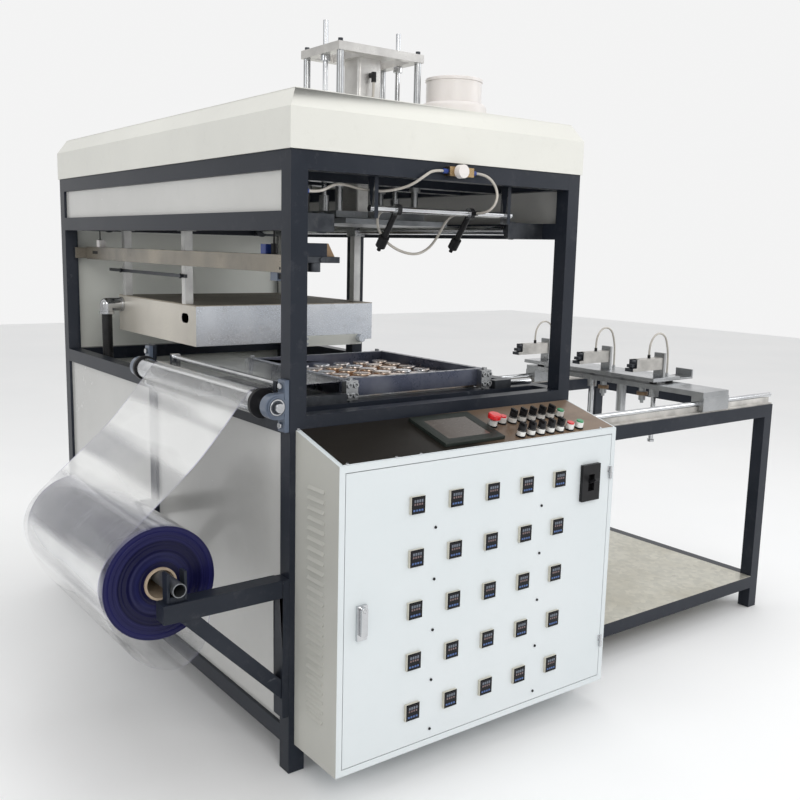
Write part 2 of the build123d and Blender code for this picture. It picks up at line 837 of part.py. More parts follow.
rail_end = table_x + rail_shaft_over
rail_run = (table_left + rail_start, rail_end)
rail_ys = (tube / 2, table_d - tube / 2)
for y in rail_ys:
    shaft = bar(rail_shaft_d, (rail_run[0], y, rail_shaft_z), (rail_run[1], y, rail_shaft_z))
    foot = block((rail_run[0], table_x), (y - support_w / 2, y + support_w / 2), (table_top, table_top + support_t))
    web = block((rail_run[0], table_x), (y - support_web / 2, y + support_web / 2),
                (table_top + support_t, rail_shaft_z))
    put("carriage_rails", foot + (web - shaft), shaft)

# Puller carriage on the rails

plate_zs = (plate_z, plate_z + plate_t)
carriage = block(plate_x, (0, table_d), plate_zs)
table_under = plate_zs[1] + bumper_h
column_spots = [(column_x_mid, y) for y in column_ys]
for x, y in column_spots:
    carriage -= bar(column_d + 2 * fit, (x, y, plate_z), (x, y, plate_zs[1]))
carriage -= bar(lift_rod + 2 * gap, (column_x_mid, lift_y, plate_z), (column_x_mid, lift_y, plate_zs[1]))
put("puller_carriage", carriage)
for y in rail_ys:
    runner = block(plate_x, (y - tube / 2 - runner_over, y + tube / 2 + runner_over),
                   (table_top + support_t + runner_gap, plate_z))
    runner -= bar(rail_shaft_d + 2 * fit, (plate_x[0], y, rail_shaft_z), (plate_x[1], y, rail_shaft_z))
    runner -= block(plate_x, (y - support_web / 2 - runner_gap, y + support_web / 2 + runner_gap),
                    (table_top + support_t + runner_gap, rail_shaft_z))
    put("puller_carriage", runner)
for x, y in column_spots:
    put("puller_carriage", bar(2 * column_d, (x, y, plate_z - 2 * column_d), (x, y, plate_z), column_d + 2 * fit))
for y in nut_ys:
    put("puller_carriage", bar(nut_d / 2, (column_x_mid, y, plate_z - nut_h - 20), (column_x_mid, y, plate_z)))
    put("puller_carriage", bar(nut_d, (column_x_mid, y, plate_z - nut_h - 8), (column_x_mid, y, plate_z - 8),
                               nut_d / 2 + 2 * seat))
for x in (plate_x[0] + bumper_d, plate_x[1] - bumper_d):
    for y in (grip_table_y[0] + bumper_d, table_d - 2 * bumper_d):
        put("puller_carriage", bar(bumper_d, (x, y, plate_zs[1]), (x, y, table_under)))
lift = bar(lift_d, (column_x_mid, lift_y, plate_z - lift_len), (column_x_mid, lift_y, plate_z))
lift -= bar(lift_rod + 2 * gap, (column_x_mid, lift_y, plate_z - lift_len + cyl_wall),
            (column_x_mid, lift_y, plate_z))
put("puller_carriage", lift)

# Gripper table on its guide columns, with three clamps

table_zs2 = (table_under, table_under + grip_table_t)
put("gripper_table", block(grip_table_x, grip_table_y, table_zs2))
for x, y in column_spots:
    put("gripper_table", bar(column_d, (x, y, column_foot_z), (x, y, table_under)))
    put("gripper_table", bar(column_d + 8, (x, y, column_foot_z - 10), (x, y, column_foot_z)))
put("gripper_table", bar(lift_rod, (column_x_mid, lift_y, plate_z - lift_len + lift_h / 2),
                         (column_x_mid, lift_y, table_under)))
clamp_floor = table_zs2[1]
for y in clamp_ys:
    ys = (y - clamp_w / 2, y + clamp_w / 2)
    plate_ys = (y - clamp_plate_w / 2, y + clamp_plate_w / 2)
    plate_xs = (clamp_x - clamp_plate_t / 2, clamp_x + clamp_plate_t / 2)
    put("gripper_table", block(plate_xs, plate_ys, (clamp_floor, clamp_floor + clamp_plate_h)))
    body = block((clamp_body_x, plate_xs[0]), ys, clamp_z)
    body += block((clamp_tip_x, clamp_body_x), ys, (clamp_z[0], clamp_z[0] + clamp_lip))
    for side in (ys[0], ys[1] - clamp_ear):
        body += block((clamp_pin_x - clamp_hub / 2, clamp_body_x), (side, side + clamp_ear),
                      (clamp_z[0] + clamp_lip, clamp_z[1]))
    body += bar(clamp_pin, (clamp_pin_x, ys[0], clamp_pin_z), (clamp_pin_x, ys[1], clamp_pin_z))
    put("clamp_bodies", body)
    put("clamp_bodies", bar(top_fit_d, ((clamp_body_x + clamp_x) / 2, y, clamp_z[1]),
                            ((clamp_body_x + clamp_x) / 2, y, clamp_z[1] + top_fit_h)))
    jaw_ys = (ys[0] + clamp_ear + gap, ys[1] - clamp_ear - gap)
    jaw = bar(clamp_hub, (clamp_pin_x, jaw_ys[0], clamp_pin_z), (clamp_pin_x, jaw_ys[1], clamp_pin_z))
    jaw += block((clamp_tip_x, clamp_pin_x), jaw_ys, (jaw_z, jaw_z + jaw_t))
    jaw -= bar(clamp_pin + 2 * fit, (clamp_pin_x, jaw_ys[0], clamp_pin_z), (clamp_pin_x, jaw_ys[1], clamp_pin_z))
    put("gripper_jaws", jaw)
side_y2 = (grip_table_y[0], side_plate_y)
put("gripper_table", block((grip_table_x[1], side_plate_x), side_y2, (table_under, table_under + side_plate_t)))
put("gripper_table", block((side_plate_x - side_plate_t, side_plate_x), side_y2,
                           (table_under + side_plate_t, table_under + side_plate_h)))

# Roll stand: two arms with bars and braces, cradles and the pipe that carries the roll

arm_top = arm_z + tube
brace_rise = arm_z - bar_bottom
brace_half = brace_w / sqrt(2)
brace_in = (brace_w - 2 * tube_wall) / sqrt(2)
pipe_z = arm_top + cradle_block + pipe_d / 2
stand_ys = (0, left_post_y)
for y0 in stand_ys:
    ys = (y0, y0 + tube)
    put("roll_stand", hollow("X", (-arm_x, -bar_t), ys, (arm_z, arm_top)))
    put("roll_stand", block((-arm_x - 3, -arm_x), ys, (arm_z, arm_top)))
    put("roll_stand", block((-bar_t, 0), ys, (bar_bottom, arm_top)))
    low_z = arm_z - (brace_x - bar_t)
    brace = []
    for half in (brace_half, brace_in):
        brace.append(make_face(Polyline((-brace_x - half, 0, arm_z), (-brace_x + half, 0, arm_z),
                                        (-bar_t, 0, low_z + half), (-bar_t, 0, low_z - half), close=True)))
    y1 = y0 + (tube - brace_w) / 2
    outer = extrude(Pos(0, y1, 0) * brace[0], brace_w, dir=(0, 1, 0))
    inner = extrude(Pos(0, y1 + tube_wall, 0) * brace[1], brace_w - 2 * tube_wall, dir=(0, 1, 0))
    put("roll_stand", outer - inner)
    cy = (y0 + (tube - cradle_y) / 2, y0 + (tube + cradle_y) / 2)
    put("roll_stand", block((-roll_x - pipe_d / 2, -roll_x + pipe_d / 2), cy, (arm_top, arm_top + cradle_block)))
    for x in (-roll_x - pipe_d / 2 - cradle_t, -roll_x + pipe_d / 2):
        put("roll_stand", block((x, x + cradle_t), cy, (arm_top, arm_top + cradle_h)))
put("roll_shaft", bar(pipe_d, (-roll_x, -pipe_over, pipe_z), (-roll_x, left_post_y + tube + pipe_over, pipe_z),
                      pipe_d - 2 * pipe_wall))

# Film roll hanging on the pipe by its paper core

film_y = (film_mid_y - film_w / 2, film_mid_y + film_w / 2)
roll_z = pipe_z + pipe_d / 2 + gap - core_bore / 2
core_d = core_bore + 2 * core_wall
put("film_roll", bar(core_d, (-roll_x, film_y[0] - core_over, roll_z), (-roll_x, film_y[1] + core_over, roll_z),
                     core_bore))
put("film_roll", bar(roll_d, (-roll_x, film_y[0], roll_z), (-roll_x, film_y[1], roll_z), core_d))

# Guide roller in its two pillow blocks

film_under = forming_top + gap
roller_x = -block_h
roller_z = film_under - gap - roller_d / 2
far_y = left_post_y + tube / 2
roller = bar(roller_d, (roller_x, roller_y[0], roller_z), (roller_x, roller_y[1], roller_z), roller_d - 2 * roller_wall)
put("guide_roller", roller)
put("guide_roller", bar(shaft_d, (roller_x, -disc_t, roller_z), (roller_x, far_y + block_w / 2 + disc_t, roller_z)))
for y in (roller_y[0] - disc_t, roller_y[1]):
    put("guide_roller", bar(disc_d, (roller_x, y, roller_z), (roller_x, y + disc_t, roller_z), shaft_d))
for y in (block_y, far_y):
    base = block((-block_t, 0), (y - block_w / 2, y + block_w / 2), (roller_z - block_len / 2, roller_z + block_len / 2))
    dome_y = block_w / 2 - 3
    dome = bar(2 * block_dome, (roller_x, y - dome_y, roller_z), (roller_x, y + dome_y, roller_z))
    dome += block((roller_x, -block_t), (y - dome_y, y + dome_y), (roller_z - block_dome, roller_z + block_dome))
    ring = bar(shaft_d + 14, (roller_x, y - block_w / 2, roller_z), (roller_x, y + block_w / 2, roller_z))
    whole = base + (dome - block((0, block_dome), (y - block_w, y + block_w),
                                 (roller_z - block_len, roller_z + block_len))) + ring
    whole -= bar(shaft_d + 2 * fit, (roller_x, y - block_w, roller_z), (roller_x, y + block_w, roller_z))
    put("pillow_blocks", whole)
    for z in (roller_z - block_bolts / 2, roller_z + block_bolts / 2):
        put("pillow_blocks", hexagon(bolt_af, (-block_t, y, z), (-block_t - bolt_h, y, z)))
put("roll_stand", block((0, far_plate_t), (left_post_y, left_post_y + tube), (mid_top, far_plate_z)))

# Film bar over the left mid beam

film_top = film_under + film_t
bar_z = film_top + gap + bar_d / 2
near_bracket = film_y[0] - bracket_gap - bracket_t
far_bracket = film_y[1] + bracket_gap
put("film_bar", bar(bar_d, (film_bar_x, near_bracket - 4, bar_z), (film_bar_x, far_bracket + bracket_t + 4, bar_z)))
for y in (near_bracket, far_bracket):
    stand = block((film_bar_x - bracket_w / 2, film_bar_x + bracket_w / 2), (y, y + bracket_t),
                  (mid_top, bar_z + bar_d / 2 + 3))
    stand -= bar(bar_d + 2 * seat, (film_bar_x, y, bar_z), (film_bar_x, y + bracket_t, bar_z))
    put("film_bar", stand)

# Film web: it leaves the roll, hangs in a loose turn under it and runs over the guide roller.
# Its middle line is a chain of smooth spans in the X, Z plane, then an arc and a flat run.

wrap = roll_d / 2 + gap + film_t / 2
turn = radians(film_start)
web = [(-roll_x + wrap * cos(turn), roll_z + wrap * sin(turn))]
web += [(-178, 470), (-200, 385), (-262, 342), (-340, 360), (-402, 412), (-452, 500), (-480, 590), (-468, 655),
        (-428, 705), (-330, 790), (-215, 892), (-140, 975)]
over = roller_d / 2 + gap + film_t / 2
last = web[-1]
away = hypot(roller_x - last[0], roller_z - last[1])
rise = atan2(roller_z - last[1], roller_x - last[0]) + asin(over / away)
run = sqrt(away ** 2 - over ** 2)
web.append((last[0] + run * cos(rise), last[1] + run * sin(rise)))
slopes = [(sin(turn), -cos(turn))]
for before, after in zip(web, web[2:]):
    far_off = hypot(after[0] - before[0], after[1] - before[1])
    slopes.append(((after[0] - before[0]) / far_off, (after[1] - before[1]) / far_off))
slopes.append((cos(rise), sin(rise)))


# One span of film between two points of its middle line, with the directions there.
def span(one, way_one, two, way_two):
    edges = []
    third = hypot(two[0] - one[0], two[1] - one[1]) / 3
    ends = []
    for side in (-film_t / 2, film_t / 2):
        a = (one[0] - way_one[1] * side, one[1] + way_one[0] * side)
        d = (two[0] - way_two[1] * side, two[1] + way_two[0] * side)
        b = (a[0] + way_one[0] * third, a[1] + way_one[1] * third)
        c = (d[0] - way_two[0] * third, d[1] - way_two[1] * third)
        edges.append(Bezier(*[(x, film_y[0], z) for x, z in (a, b, c, d)]))
        ends.append(((a[0], film_y[0], a[1]), (d[0], film_y[0], d[1])))
    edges.append(Line(ends[0][0], ends[1][0]))
    edges.append(Line(ends[0][1], ends[1][1]))
    return extrude(make_face(edges), film_w, dir=(0, 1, 0))


for i in range(len(web) - 1):
    put("film_web", span(web[i], slopes[i], web[i + 1], slopes[i + 1]))
rim = bar(2 * (over + film_t / 2), (roller_x, film_y[0], roller_z), (roller_x, film_y[1], roller_z),
          2 * (over - film_t / 2))
wedge_r = 2 * over
start_angle = rise + pi / 2
wedge = make_face(Polyline((roller_x, film_y[0], roller_z),
                           (roller_x + wedge_r * cos(start_angle), film_y[0], roller_z + wedge_r * sin(start_angle)),
                           (roller_x, film_y[0], roller_z + wedge_r), close=True))
put("film_web", rim & extrude(wedge, film_w, dir=(0, 1, 0)))
put("film_web", block((roller_x, film_end_x), film_y, (film_under, film_top)))

# Forming frame with corner blocks, pins and bolts

form_y = (film_mid_y - form_d / 2, film_mid_y + form_d / 2)
form_z = (forming_top - form_h, forming_top)
for y in (form_y[0], form_y[1] - form_wall):
    put("forming_frame", block(form_x, (y, y + form_wall), form_z))
for x in (form_x[0], form_x[1] - form_wall):
    put("forming_frame", block((x, x + form_wall), (form_y[0] + form_wall, form_y[1] - form_wall), form_z))
corner_z = (mid_top + 4, forming_top - 2)
corner_xs = [(form_x[0] - 4, form_x[0] - 4 + corner_w), (form_x[1] + 4 - corner_w, form_x[1] + 4)]
corner_ys = [(form_y[0] - corner_t, form_y[0]), (form_y[1], form_y[1] + corner_t)]
for xs in corner_xs:
    for ys in corner_ys:
        x, y = (xs[0] + xs[1]) / 2, (ys[0] + ys[1]) / 2
        lump = block(xs, ys, corner_z) - bar(corner_pin, (x, y, corner_z[0]), (x, y, corner_z[1]))
        put("forming_frame", lump, bar(corner_pin, (x, y, mid_top), (x, y, forming_top + 6)))
        out = -1 if ys[0] < film_mid_y else 1
        face_y = ys[0] if out < 0 else ys[1]
        for bx in (xs[0] + corner_bolt / 2 + 1, xs[1] - corner_bolt / 2 - 1):
            for bz in (corner_z[0] + 14, corner_z[1] - 14):
                put("forming_frame", bar(corner_bolt, (bx, face_y, bz), (bx, face_y + out * corner_bolt_h, bz),
                                           corner_bolt / 2))

# Bed under the forming frame: two beams, arms, tie rods and a lower plate

table_x2 = (form_x[0] + table_edge, form_x[1] - table_edge)
table_y2 = (form_y[0] + table_edge, form_y[1] - table_edge)
beam_ys = [(table_y2[0] - bed_beam_gap - tube, table_y2[0] - bed_beam_gap),
           (table_y2[1] + bed_beam_gap, table_y2[1] + bed_beam_gap + tube)]
for ys in beam_ys:
    put("forming_bed", hollow("X", inside_x, ys, (mid_z, mid_top)))
arm_y = (beam_ys[0][0] + 2, beam_ys[0][0] + 2 + arm_w)
put("forming_bed", block((tube + 8, corner_xs[0][0] - 6), arm_y, (mid_top, mid_top + arm_h)))
put("forming_bed", block((corner_xs[1][1] + 6, corner_xs[1][1] + 76), arm_y, (mid_top, mid_top + arm_h)))
shaft_y = (arm_y[0] + arm_y[1]) / 2
shaft_z = mid_top + arm_h / 2
put("forming_bed", bar(side_shaft, (corner_xs[1][1] + 76, shaft_y, shaft_z), (frame_w - tube, shaft_y, shaft_z)))
lower_top = lower_plate_z + lower_plate_t
lower_y = (beam_ys[0][0], beam_ys[1][1])
plate = block(table_x2, lower_y, (lower_plate_z, lower_top))
mid_x = (form_x[0] + form_x[1]) / 2
pin_spots = [(x, y) for x in (table_x2[0] + guide_pin_in, table_x2[1] - guide_pin_in)
             for y in (table_y2[0] + guide_pin_in, table_y2[1] - guide_pin_in)]
for x, y in pin_spots:
    plate -= bar(guide_pin + 2 * fit, (x, y, lower_plate_z), (x, y, lower_top))
plate -= bar(cyl_rod + 2 * fit, (mid_x, film_mid_y, lower_plate_z), (mid_x, film_mid_y, lower_top))
put("forming_bed", plate)
for ys in beam_ys:
    for x in (table_x2[0] + tie_in, table_x2[1] - tie_in):
        y = (ys[0] + ys[1]) / 2
        put("forming_bed", bar(tie_d, (x, y, lower_top), (x, y, mid_z)))
cyl_zs = (lower_plate_z - cyl_len, lower_plate_z)
barrel = bar(cyl_d, (mid_x, film_mid_y, cyl_zs[0]), (mid_x, film_mid_y, cyl_zs[1]))
barrel -= bar(cyl_d - 2 * cyl_wall, (mid_x, film_mid_y, cyl_zs[0] + cyl_cap), (mid_x, film_mid_y, cyl_zs[1] - cyl_cap))
barrel -= bar(cyl_rod + 2 * fit, (mid_x, film_mid_y, cyl_zs[1] - cyl_cap), (mid_x, film_mid_y, cyl_zs[1]))
put("forming_bed", barrel)

# Mould table with guide pins and rod, and the mould plate with its cups

mould_zs = (mid_top + 2 - mould_table_h, mid_top + 2)
put("mould_table", block(table_x2, table_y2, mould_zs))
for x, y in pin_spots:
    put("mould_table", bar(guide_pin, (x, y, mould_zs[0] - guide_pin_len), (x, y, mould_zs[0])))
piston_z = cyl_zs[0] + cyl_cap + mould_stroke + 10
put("mould_table", bar(cyl_rod, (mid_x, film_mid_y, piston_z), (mid_x, film_mid_y, mould_zs[0])))
mould_x = (form_x[0] + form_wall + mould_fit, form_x[1] - form_wall - mould_fit)
mould_y = (form_y[0] + form_wall + mould_fit, form_y[1] - form_wall - mould_fit)
plate_top = mould_zs[1] + mould_plate_t
put("mould_plate", block(mould_x, mould_y, (mould_zs[1], plate_top)))
half_row = (cup_n - 1) / 2
for i in range(cup_n):
    for j in range(cup_n):
        x = mid_x + (i - half_row) * cup_pitch
        y = film_mid_y + (j - half_row) * cup_pitch
        cup = Pos(x, y, plate_top) * Cylinder(cup_d / 2, cup_h, align=(Align.CENTER, Align.CENTER, Align.MIN))
        put("mould_plate", fillet(cup.edges().group_by(Axis.Z)[-1], cup_round))

# Heater rails: a round bar along each side, with end plates on the second beams and a ring at each end

slide_xs = (heat_x[0] + column_x, heat_x[1] - column_x)
slide_ys = (slide_front, frame_d - slide_back)
slide_z = (second_z + second_top) / 2
for x in slide_xs:
    put("heater_rails", bar(slide_d, (x, slide_ys[0], slide_z), (x, slide_ys[1], slide_z)))
    reach = (tube, x + slide_over) if x < frame_w / 2 else (x - slide_over, frame_w - tube)
    for y, way in ((slide_ys[0], -1), (slide_ys[1], 1)):
        low_y, high_y = sorted((y, y + way * slide_plate))
        put("heater_rails", block(reach, (low_y, high_y), (second_z, second_top)))
        put("heater_rails", bar(slide_ring, (x, y, slide_z), (x, y - way * slide_ring_t, slide_z),
                                slide_d + 2 * seat))

# Sensor beam with its brackets, the stop plate on the near post, and two sensors with their plugs

sense_xs = (sense_x, sense_x + sense_w)
sense_ys = (sense_front, frame_d - sense_back)
sense_zs = (sense_top - sense_h, sense_top)
put("sensor_beam", hollow("Y", sense_xs, sense_ys, sense_zs, sense_wall))
put("sensor_beam", block((tube - sense_foot, sense_xs[1]), (sense_ys[1], frame_d - tube),
                         (sense_zs[0] + sense_foot_in, sense_zs[1] - sense_foot_in)))
stop_zs = (sense_top - stop_plate_down - stop_plate_t, sense_top - stop_plate_down)
put("sensor_beam", block((tube, stop_plate_x), (0, sense_front), stop_zs))
put("sensor_beam", hollow("X", (tube, tube + stub_len), front, (stop_zs[1], stop_zs[1] + stub_h)))
side = Polyline((tube + stub_len, 0, stop_zs[1]), (stop_plate_x, 0, stop_zs[1]),
                (stop_plate_x - stop_side, 0, stop_zs[1] + stub_h), (tube + stub_len, 0, stop_zs[1] + stub_h),
                close=True)
put("sensor_beam", extrude(Pos(0, tube / 2, 0) * make_face(side), stop_side_t, dir=(0, 1, 0)))
stop_mid_z = (stop_zs[0] + stop_zs[1]) / 2
put("sensor_beam", bar(stop_knob, (stop_knob_x, stop_knob / 2, stop_zs[0] - stop_knob_h),
                       (stop_knob_x, stop_knob / 2, stop_zs[0])))
bolt_x = stop_knob_x + stop_bolt
put("sensor_beam", bar(stop_bolt, (bolt_x, 0, stop_mid_z), (bolt_x, -stop_bolt_h, stop_mid_z)))
for y, way in zip(sensor_ys, (1, -1)):
    put("sensor_beam", bar(sensor_d, (sensor_x, y, sense_top), (sensor_x, y, sense_top + sensor_h)))
    low_y, high_y = sorted((y + way * sensor_apart, y + way * (sensor_apart + sensor_body[1])))
    mid = (sense_xs[0] + sense_xs[1]) / 2
    put("sensor_beam", block((mid - sensor_body[0] / 2, mid + sensor_body[0] / 2), (low_y, high_y),
                             (sense_top, sense_top + sensor_body[2])))

# Heater box of sheet with a reflector and rows of elements

heat_y2 = heat_y + heat_len
heat_top = heat_z + heat_h
walls_z = (heat_z, heat_top - heat_top_t)
put("heater_box", block(heat_x, (heat_y, heat_y + heat_t), walls_z))
put("heater_box", block(heat_x, (heat_y2 - heat_t, heat_y2), walls_z))
side_y = (heat_y + heat_t, heat_y2 - heat_t)
left_wall = block((heat_x[0], heat_x[0] + heat_t), side_y, walls_z)
oval = Plane.YZ.offset(heat_x[0] - heat_t) * Pos(hole_y, hole_z) * SlotOverall(hole_w, hole_h)
left_wall -= extrude(oval, 3 * heat_t)
put("heater_box", left_wall)
put("heater_box", block((heat_x[1] - heat_t, heat_x[1]), side_y, walls_z))
put("heater_box", block(heat_x, (heat_y, heat_y2), (walls_z[1], heat_top)))
put("heater_box", block(seam_x, (heat_y - seam_t, heat_y), seam_z))
for z in (seam_z[0] + 10, seam_z[1] - 10):
    put("heater_box", bar(10, (seam_x[0] + 10, heat_y - seam_t, z), (seam_x[0] + 10, heat_y - seam_t - 5, z)))
put("heater_box", bar(seam_knob, (seam_x[1] - seam_knob / 2, heat_y - seam_t, seam_z[1] - seam_knob / 2),
                      (seam_x[1] - seam_knob / 2, heat_y - seam_t - 26, seam_z[1] - seam_knob / 2)))
reflector_z = heat_z + reflector_up
inner_x = (heat_x[0] + heat_t, heat_x[1] - heat_t)
put("heater_elements", block(inner_x, side_y, (reflector_z, reflector_z + reflector_t)))
mid_heat_x = (heat_x[0] + heat_x[1]) / 2
mid_heat_y = (heat_y + heat_y2) / 2
for i in range(element_nx):
    for j in range(element_ny):
        x = mid_heat_x + (i - (element_nx - 1) / 2) * element_px
        y = mid_heat_y + (j - (element_ny - 1) / 2) * element_py
        tile = block((x - element_len / 2, x + element_len / 2), (y - element_w / 2, y + element_w / 2),
                     (reflector_z - element_foot - element_t, reflector_z - element_foot))
        tile += bar(element_foot * 2, (x, y, reflector_z - element_foot), (x, y, reflector_z))
        put("heater_elements", tile)

# Heater trolley: four columns under bored blocks that slide on the round bars, and a tie bar

column_ys2 = (heat_y + column_y, heat_y + column_y + column_pitch)
block_zs = (slide_z - slide_block / 2, slide_z + slide_block / 2)
for y in column_ys2:
    for x in slide_xs:
        put("heater_trolley", hollow("Z", (x - column / 2, x + column / 2), (y - column / 2, y + column / 2),
                                     (heat_top, block_zs[0])))
        guide = block((x - slide_block / 2, x + slide_block / 2),
                      (y - slide_block_len / 2, y + slide_block_len / 2), block_zs)
        guide -= bar(slide_d + 2 * fit, (x, y - slide_block_len, slide_z), (x, y + slide_block_len, slide_z))
        put("heater_trolley", guide)
tie_x = (slide_xs[0] - column / 2 - tie_bar_t, slide_xs[0] - column / 2)
tie_z = (tie_bar_z - tie_bar_h / 2, tie_bar_z + tie_bar_h / 2)
tie_y = (column_ys2[0] - tie_clip, column_ys2[1] + tie_bar_over)
put("heater_trolley", block(tie_x, tie_y, tie_z))
for y in column_ys2:
    put("heater_trolley", bar(tie_clip / 2, (tie_x[0] - tie_bar_t, y, tie_bar_z), (tie_x[0], y, tie_bar_z)))
elbow_x = heat_x[0] - elbow_out
elbow_r = elbow_tube / 2 + elbow_bend
collar = elbow_tube + 2 * elbow_wall
elbow = bar(collar, (heat_x[0], elbow_y, elbow_z), (heat_x[0] - elbow_collar, elbow_y, elbow_z))
elbow += bar(elbow_tube, (heat_x[0] - elbow_collar, elbow_y, elbow_z), (elbow_x, elbow_y, elbow_z))
elbow += Pos(elbow_x, elbow_y, elbow_z) * Sphere(elbow_tube / 2)
elbow += bar(elbow_tube, (elbow_x, elbow_y, elbow_z), (elbow_x, elbow_y, elbow_z - elbow_r))
elbow += bar(collar, (elbow_x, elbow_y, elbow_z - elbow_r + elbow_collar), (elbow_x, elbow_y, elbow_z - elbow_r))
put("heater_trolley", elbow)

# Press unit: four pillars through two cross beams, with the base plate at their feet and the top plate on them

base_zs = (second_top, second_top + base_t)
pillar_zs = (base_zs[1], top_z)
for y in pillar_ys:
    cross = hollow("X", inside_x, (y - tube / 2, y + tube / 2), (top_beam_z, frame_h))
    for x in pillar_xs:
        cross -= bar(pillar_d + 2 * fit, (x, y, top_beam_z), (x, y, frame_h))
    put("press_stand", cross)
base = block((press_x - base_w / 2, press_x + base_w / 2), (press_y - base_d / 2, press_y + base_d / 2), base_zs)
top_plate = block((press_x - top_w / 2, press_x + top_w / 2), (press_y - top_d / 2, press_y + top_d / 2),
                  (top_z, top_z + top_t))
for way in (-1, 1):
    window_x = sorted((press_x + way * top_middle, press_x + way * (top_w / 2 - top_side)))
    window_y = (press_y - top_d / 2 + top_front, press_y + top_d / 2 - top_front)
    top_plate -= block(window_x, window_y, (top_z, top_z + top_t))
for x in guide_xs:
    base -= bar(guide_d + 2 * fit, (x, press_y, base_zs[0]), (x, press_y, base_zs[1]))
    top_plate -= bar(guide_d + 2 * gap, (x, press_y, top_z), (x, press_y, top_z + top_t))
    put("press_stand", bar(bush_d, (x, press_y, base_zs[1]), (x, press_y, base_zs[1] + bush_h), guide_d + 2 * fit))
base -= bar(press_rod + 2 * fit, (press_x, press_y, base_zs[0]), (press_x, press_y, base_zs[1]))
put("press_stand", base, top_plate)
for x in pillar_xs:
    for y in pillar_ys:
        put("press_stand", bar(pillar_d, (x, y, pillar_zs[0]), (x, y, pillar_zs[1])))
        for z, way in ((top_beam_z, -1), (frame_h, 1)):
            put("press_stand", bar(pillar_ring, (x, y, z), (x, y, z + way * pillar_ring_h), pillar_d + 2 * fit))
        put("press_stand", bar(head_d, (x, y, top_z + top_t), (x, y, top_z + top_t + head_h), head_d / 2))
barrel_zs = (base_zs[1], top_z)
barrel = profile(press_cyl_d, barrel_zs)
barrel -= bar(press_cyl_d - 2 * press_cyl_wall, (press_x, press_y, barrel_zs[0] + press_cap),
              (press_x, press_y, barrel_zs[1] - press_cap))
barrel -= bar(press_rod + 2 * fit, (press_x, press_y, barrel_zs[0]), (press_x, press_y, barrel_zs[0] + press_cap))
put("press_cylinder", barrel)
port_z = barrel_zs[1] - press_cap / 2 - 40
port_y = press_y - press_cyl_d / 2
elbow2 = bar(16, (press_x, port_y, port_z), (press_x, port_y - port_out, port_z))
elbow2 += bar(16, (press_x, port_y - port_out, port_z + 8), (press_x, port_y - port_out, port_z - port_down))
put("press_cylinder", elbow2)

platen_zs = (base_zs[0] - platen_down - platen_t, base_zs[0] - platen_down)
put("plug_platen", block((press_x - platen_w / 2, press_x + platen_w / 2),
                         (press_y - platen_d / 2, press_y + platen_d / 2), platen_zs))
piston_top = barrel_zs[0] + press_cap + press_stroke + press_piston + 10
put("plug_platen", bar(press_rod, (press_x, press_y, platen_zs[1]), (press_x, press_y, piston_top)))
put("plug_platen", bar(press_cyl_d - 2 * press_cyl_wall - 2 * gap, (press_x, press_y, piston_top - press_piston),
                       (press_x, press_y, piston_top), press_rod))
for x in guide_xs:
    put("plug_platen", bar(guide_d, (x, press_y, platen_zs[1]), (x, press_y, guide_top)))
    put("plug_platen", bar(collar_d, (x, press_y, top_z - collar_h - gap), (x, press_y, top_z - gap),
                            guide_d + 2 * seat))

# Barrel on the hood

barrel_x = frame_w - barrel_in
tub = Pos(barrel_x, barrel_y, hood_top) * Cylinder(barrel_d / 2, barrel_h, align=(Align.CENTER, Align.CENTER, Align.MIN))
tub = fillet(tub.edges().group_by(Axis.Z)[-1], (barrel_d - neck_d) / 2 - 2)
neck_zs = (hood_top + barrel_h, hood_top + barrel_h + neck_h)
tub += bar(neck_d, (barrel_x, barrel_y, neck_zs[0]), (barrel_x, barrel_y, neck_zs[1]))
tub -= bar(neck_d - 2 * barrel_wall, (barrel_x, barrel_y, hood_top + barrel_wall), (barrel_x, barrel_y, neck_zs[1]))
put("water_barrel", tub)
put("water_barrel", bar(neck_d + 6, (barrel_x, barrel_y, neck_zs[1]), (barrel_x, barrel_y, neck_zs[1] + lid_h)))

# Spray bar on two straps under the front top beam, with two nozzle arms

for x in strap_x:
    strap = block((x - strap_t / 2, x + strap_t / 2), (spray_y - strap_w / 2, spray_y + strap_w / 2),
                  (strap_z, top_beam_z))
    strap -= bar(spray_d + 2 * seat, (x - strap_t, spray_y, spray_z), (x + strap_t, spray_y, spray_z))
    put("spray_bar", strap)
put("spray_bar", bar(spray_d, (spray_x[0], spray_y, spray_z), (spray_x[1], spray_y, spray_z)))
back_fit_y = spray_y + eye_d / 2 + air_fit_len
side_fit_y = spray_y - eye_d / 2 - air_fit_len
reach = Vector(0, nozzle_end[0] - spray_y, nozzle_end[1] - spray_z).normalized()
for x in nozzle_x:
    eye = bar(eye_d, (x - eye_w / 2, spray_y, spray_z), (x + eye_w / 2, spray_y, spray_z), spray_d + 2 * seat)
    start = Vector(x, spray_y, spray_z) + reach * (eye_d / 2 - 3)
    end = Vector(x, *nozzle_end)
    rod = bar(nozzle_arm, tuple(start), tuple(end))
    rod -= bar(eye_d - 1, (x - eye_w / 2, spray_y, spray_z), (x + eye_w / 2, spray_y, spray_z))
    put("spray_bar", eye + rod)
    tip = end + reach * nozzle_len
    put("spray_bar", bar(nozzle_d, tuple(end), tuple(tip)))
    put("spray_bar", bar(nozzle_tip, tuple(tip), tuple(tip + reach * nozzle_tip_len)))
    put("spray_bar", bar(air_fit_d, (x, spray_y + eye_d / 2 - 2, spray_z), (x, back_fit_y, spray_z))
        - bar(eye_d, (x - eye_w, spray_y, spray_z), (x + eye_w, spray_y, spray_z)))
x = nozzle_x[1]
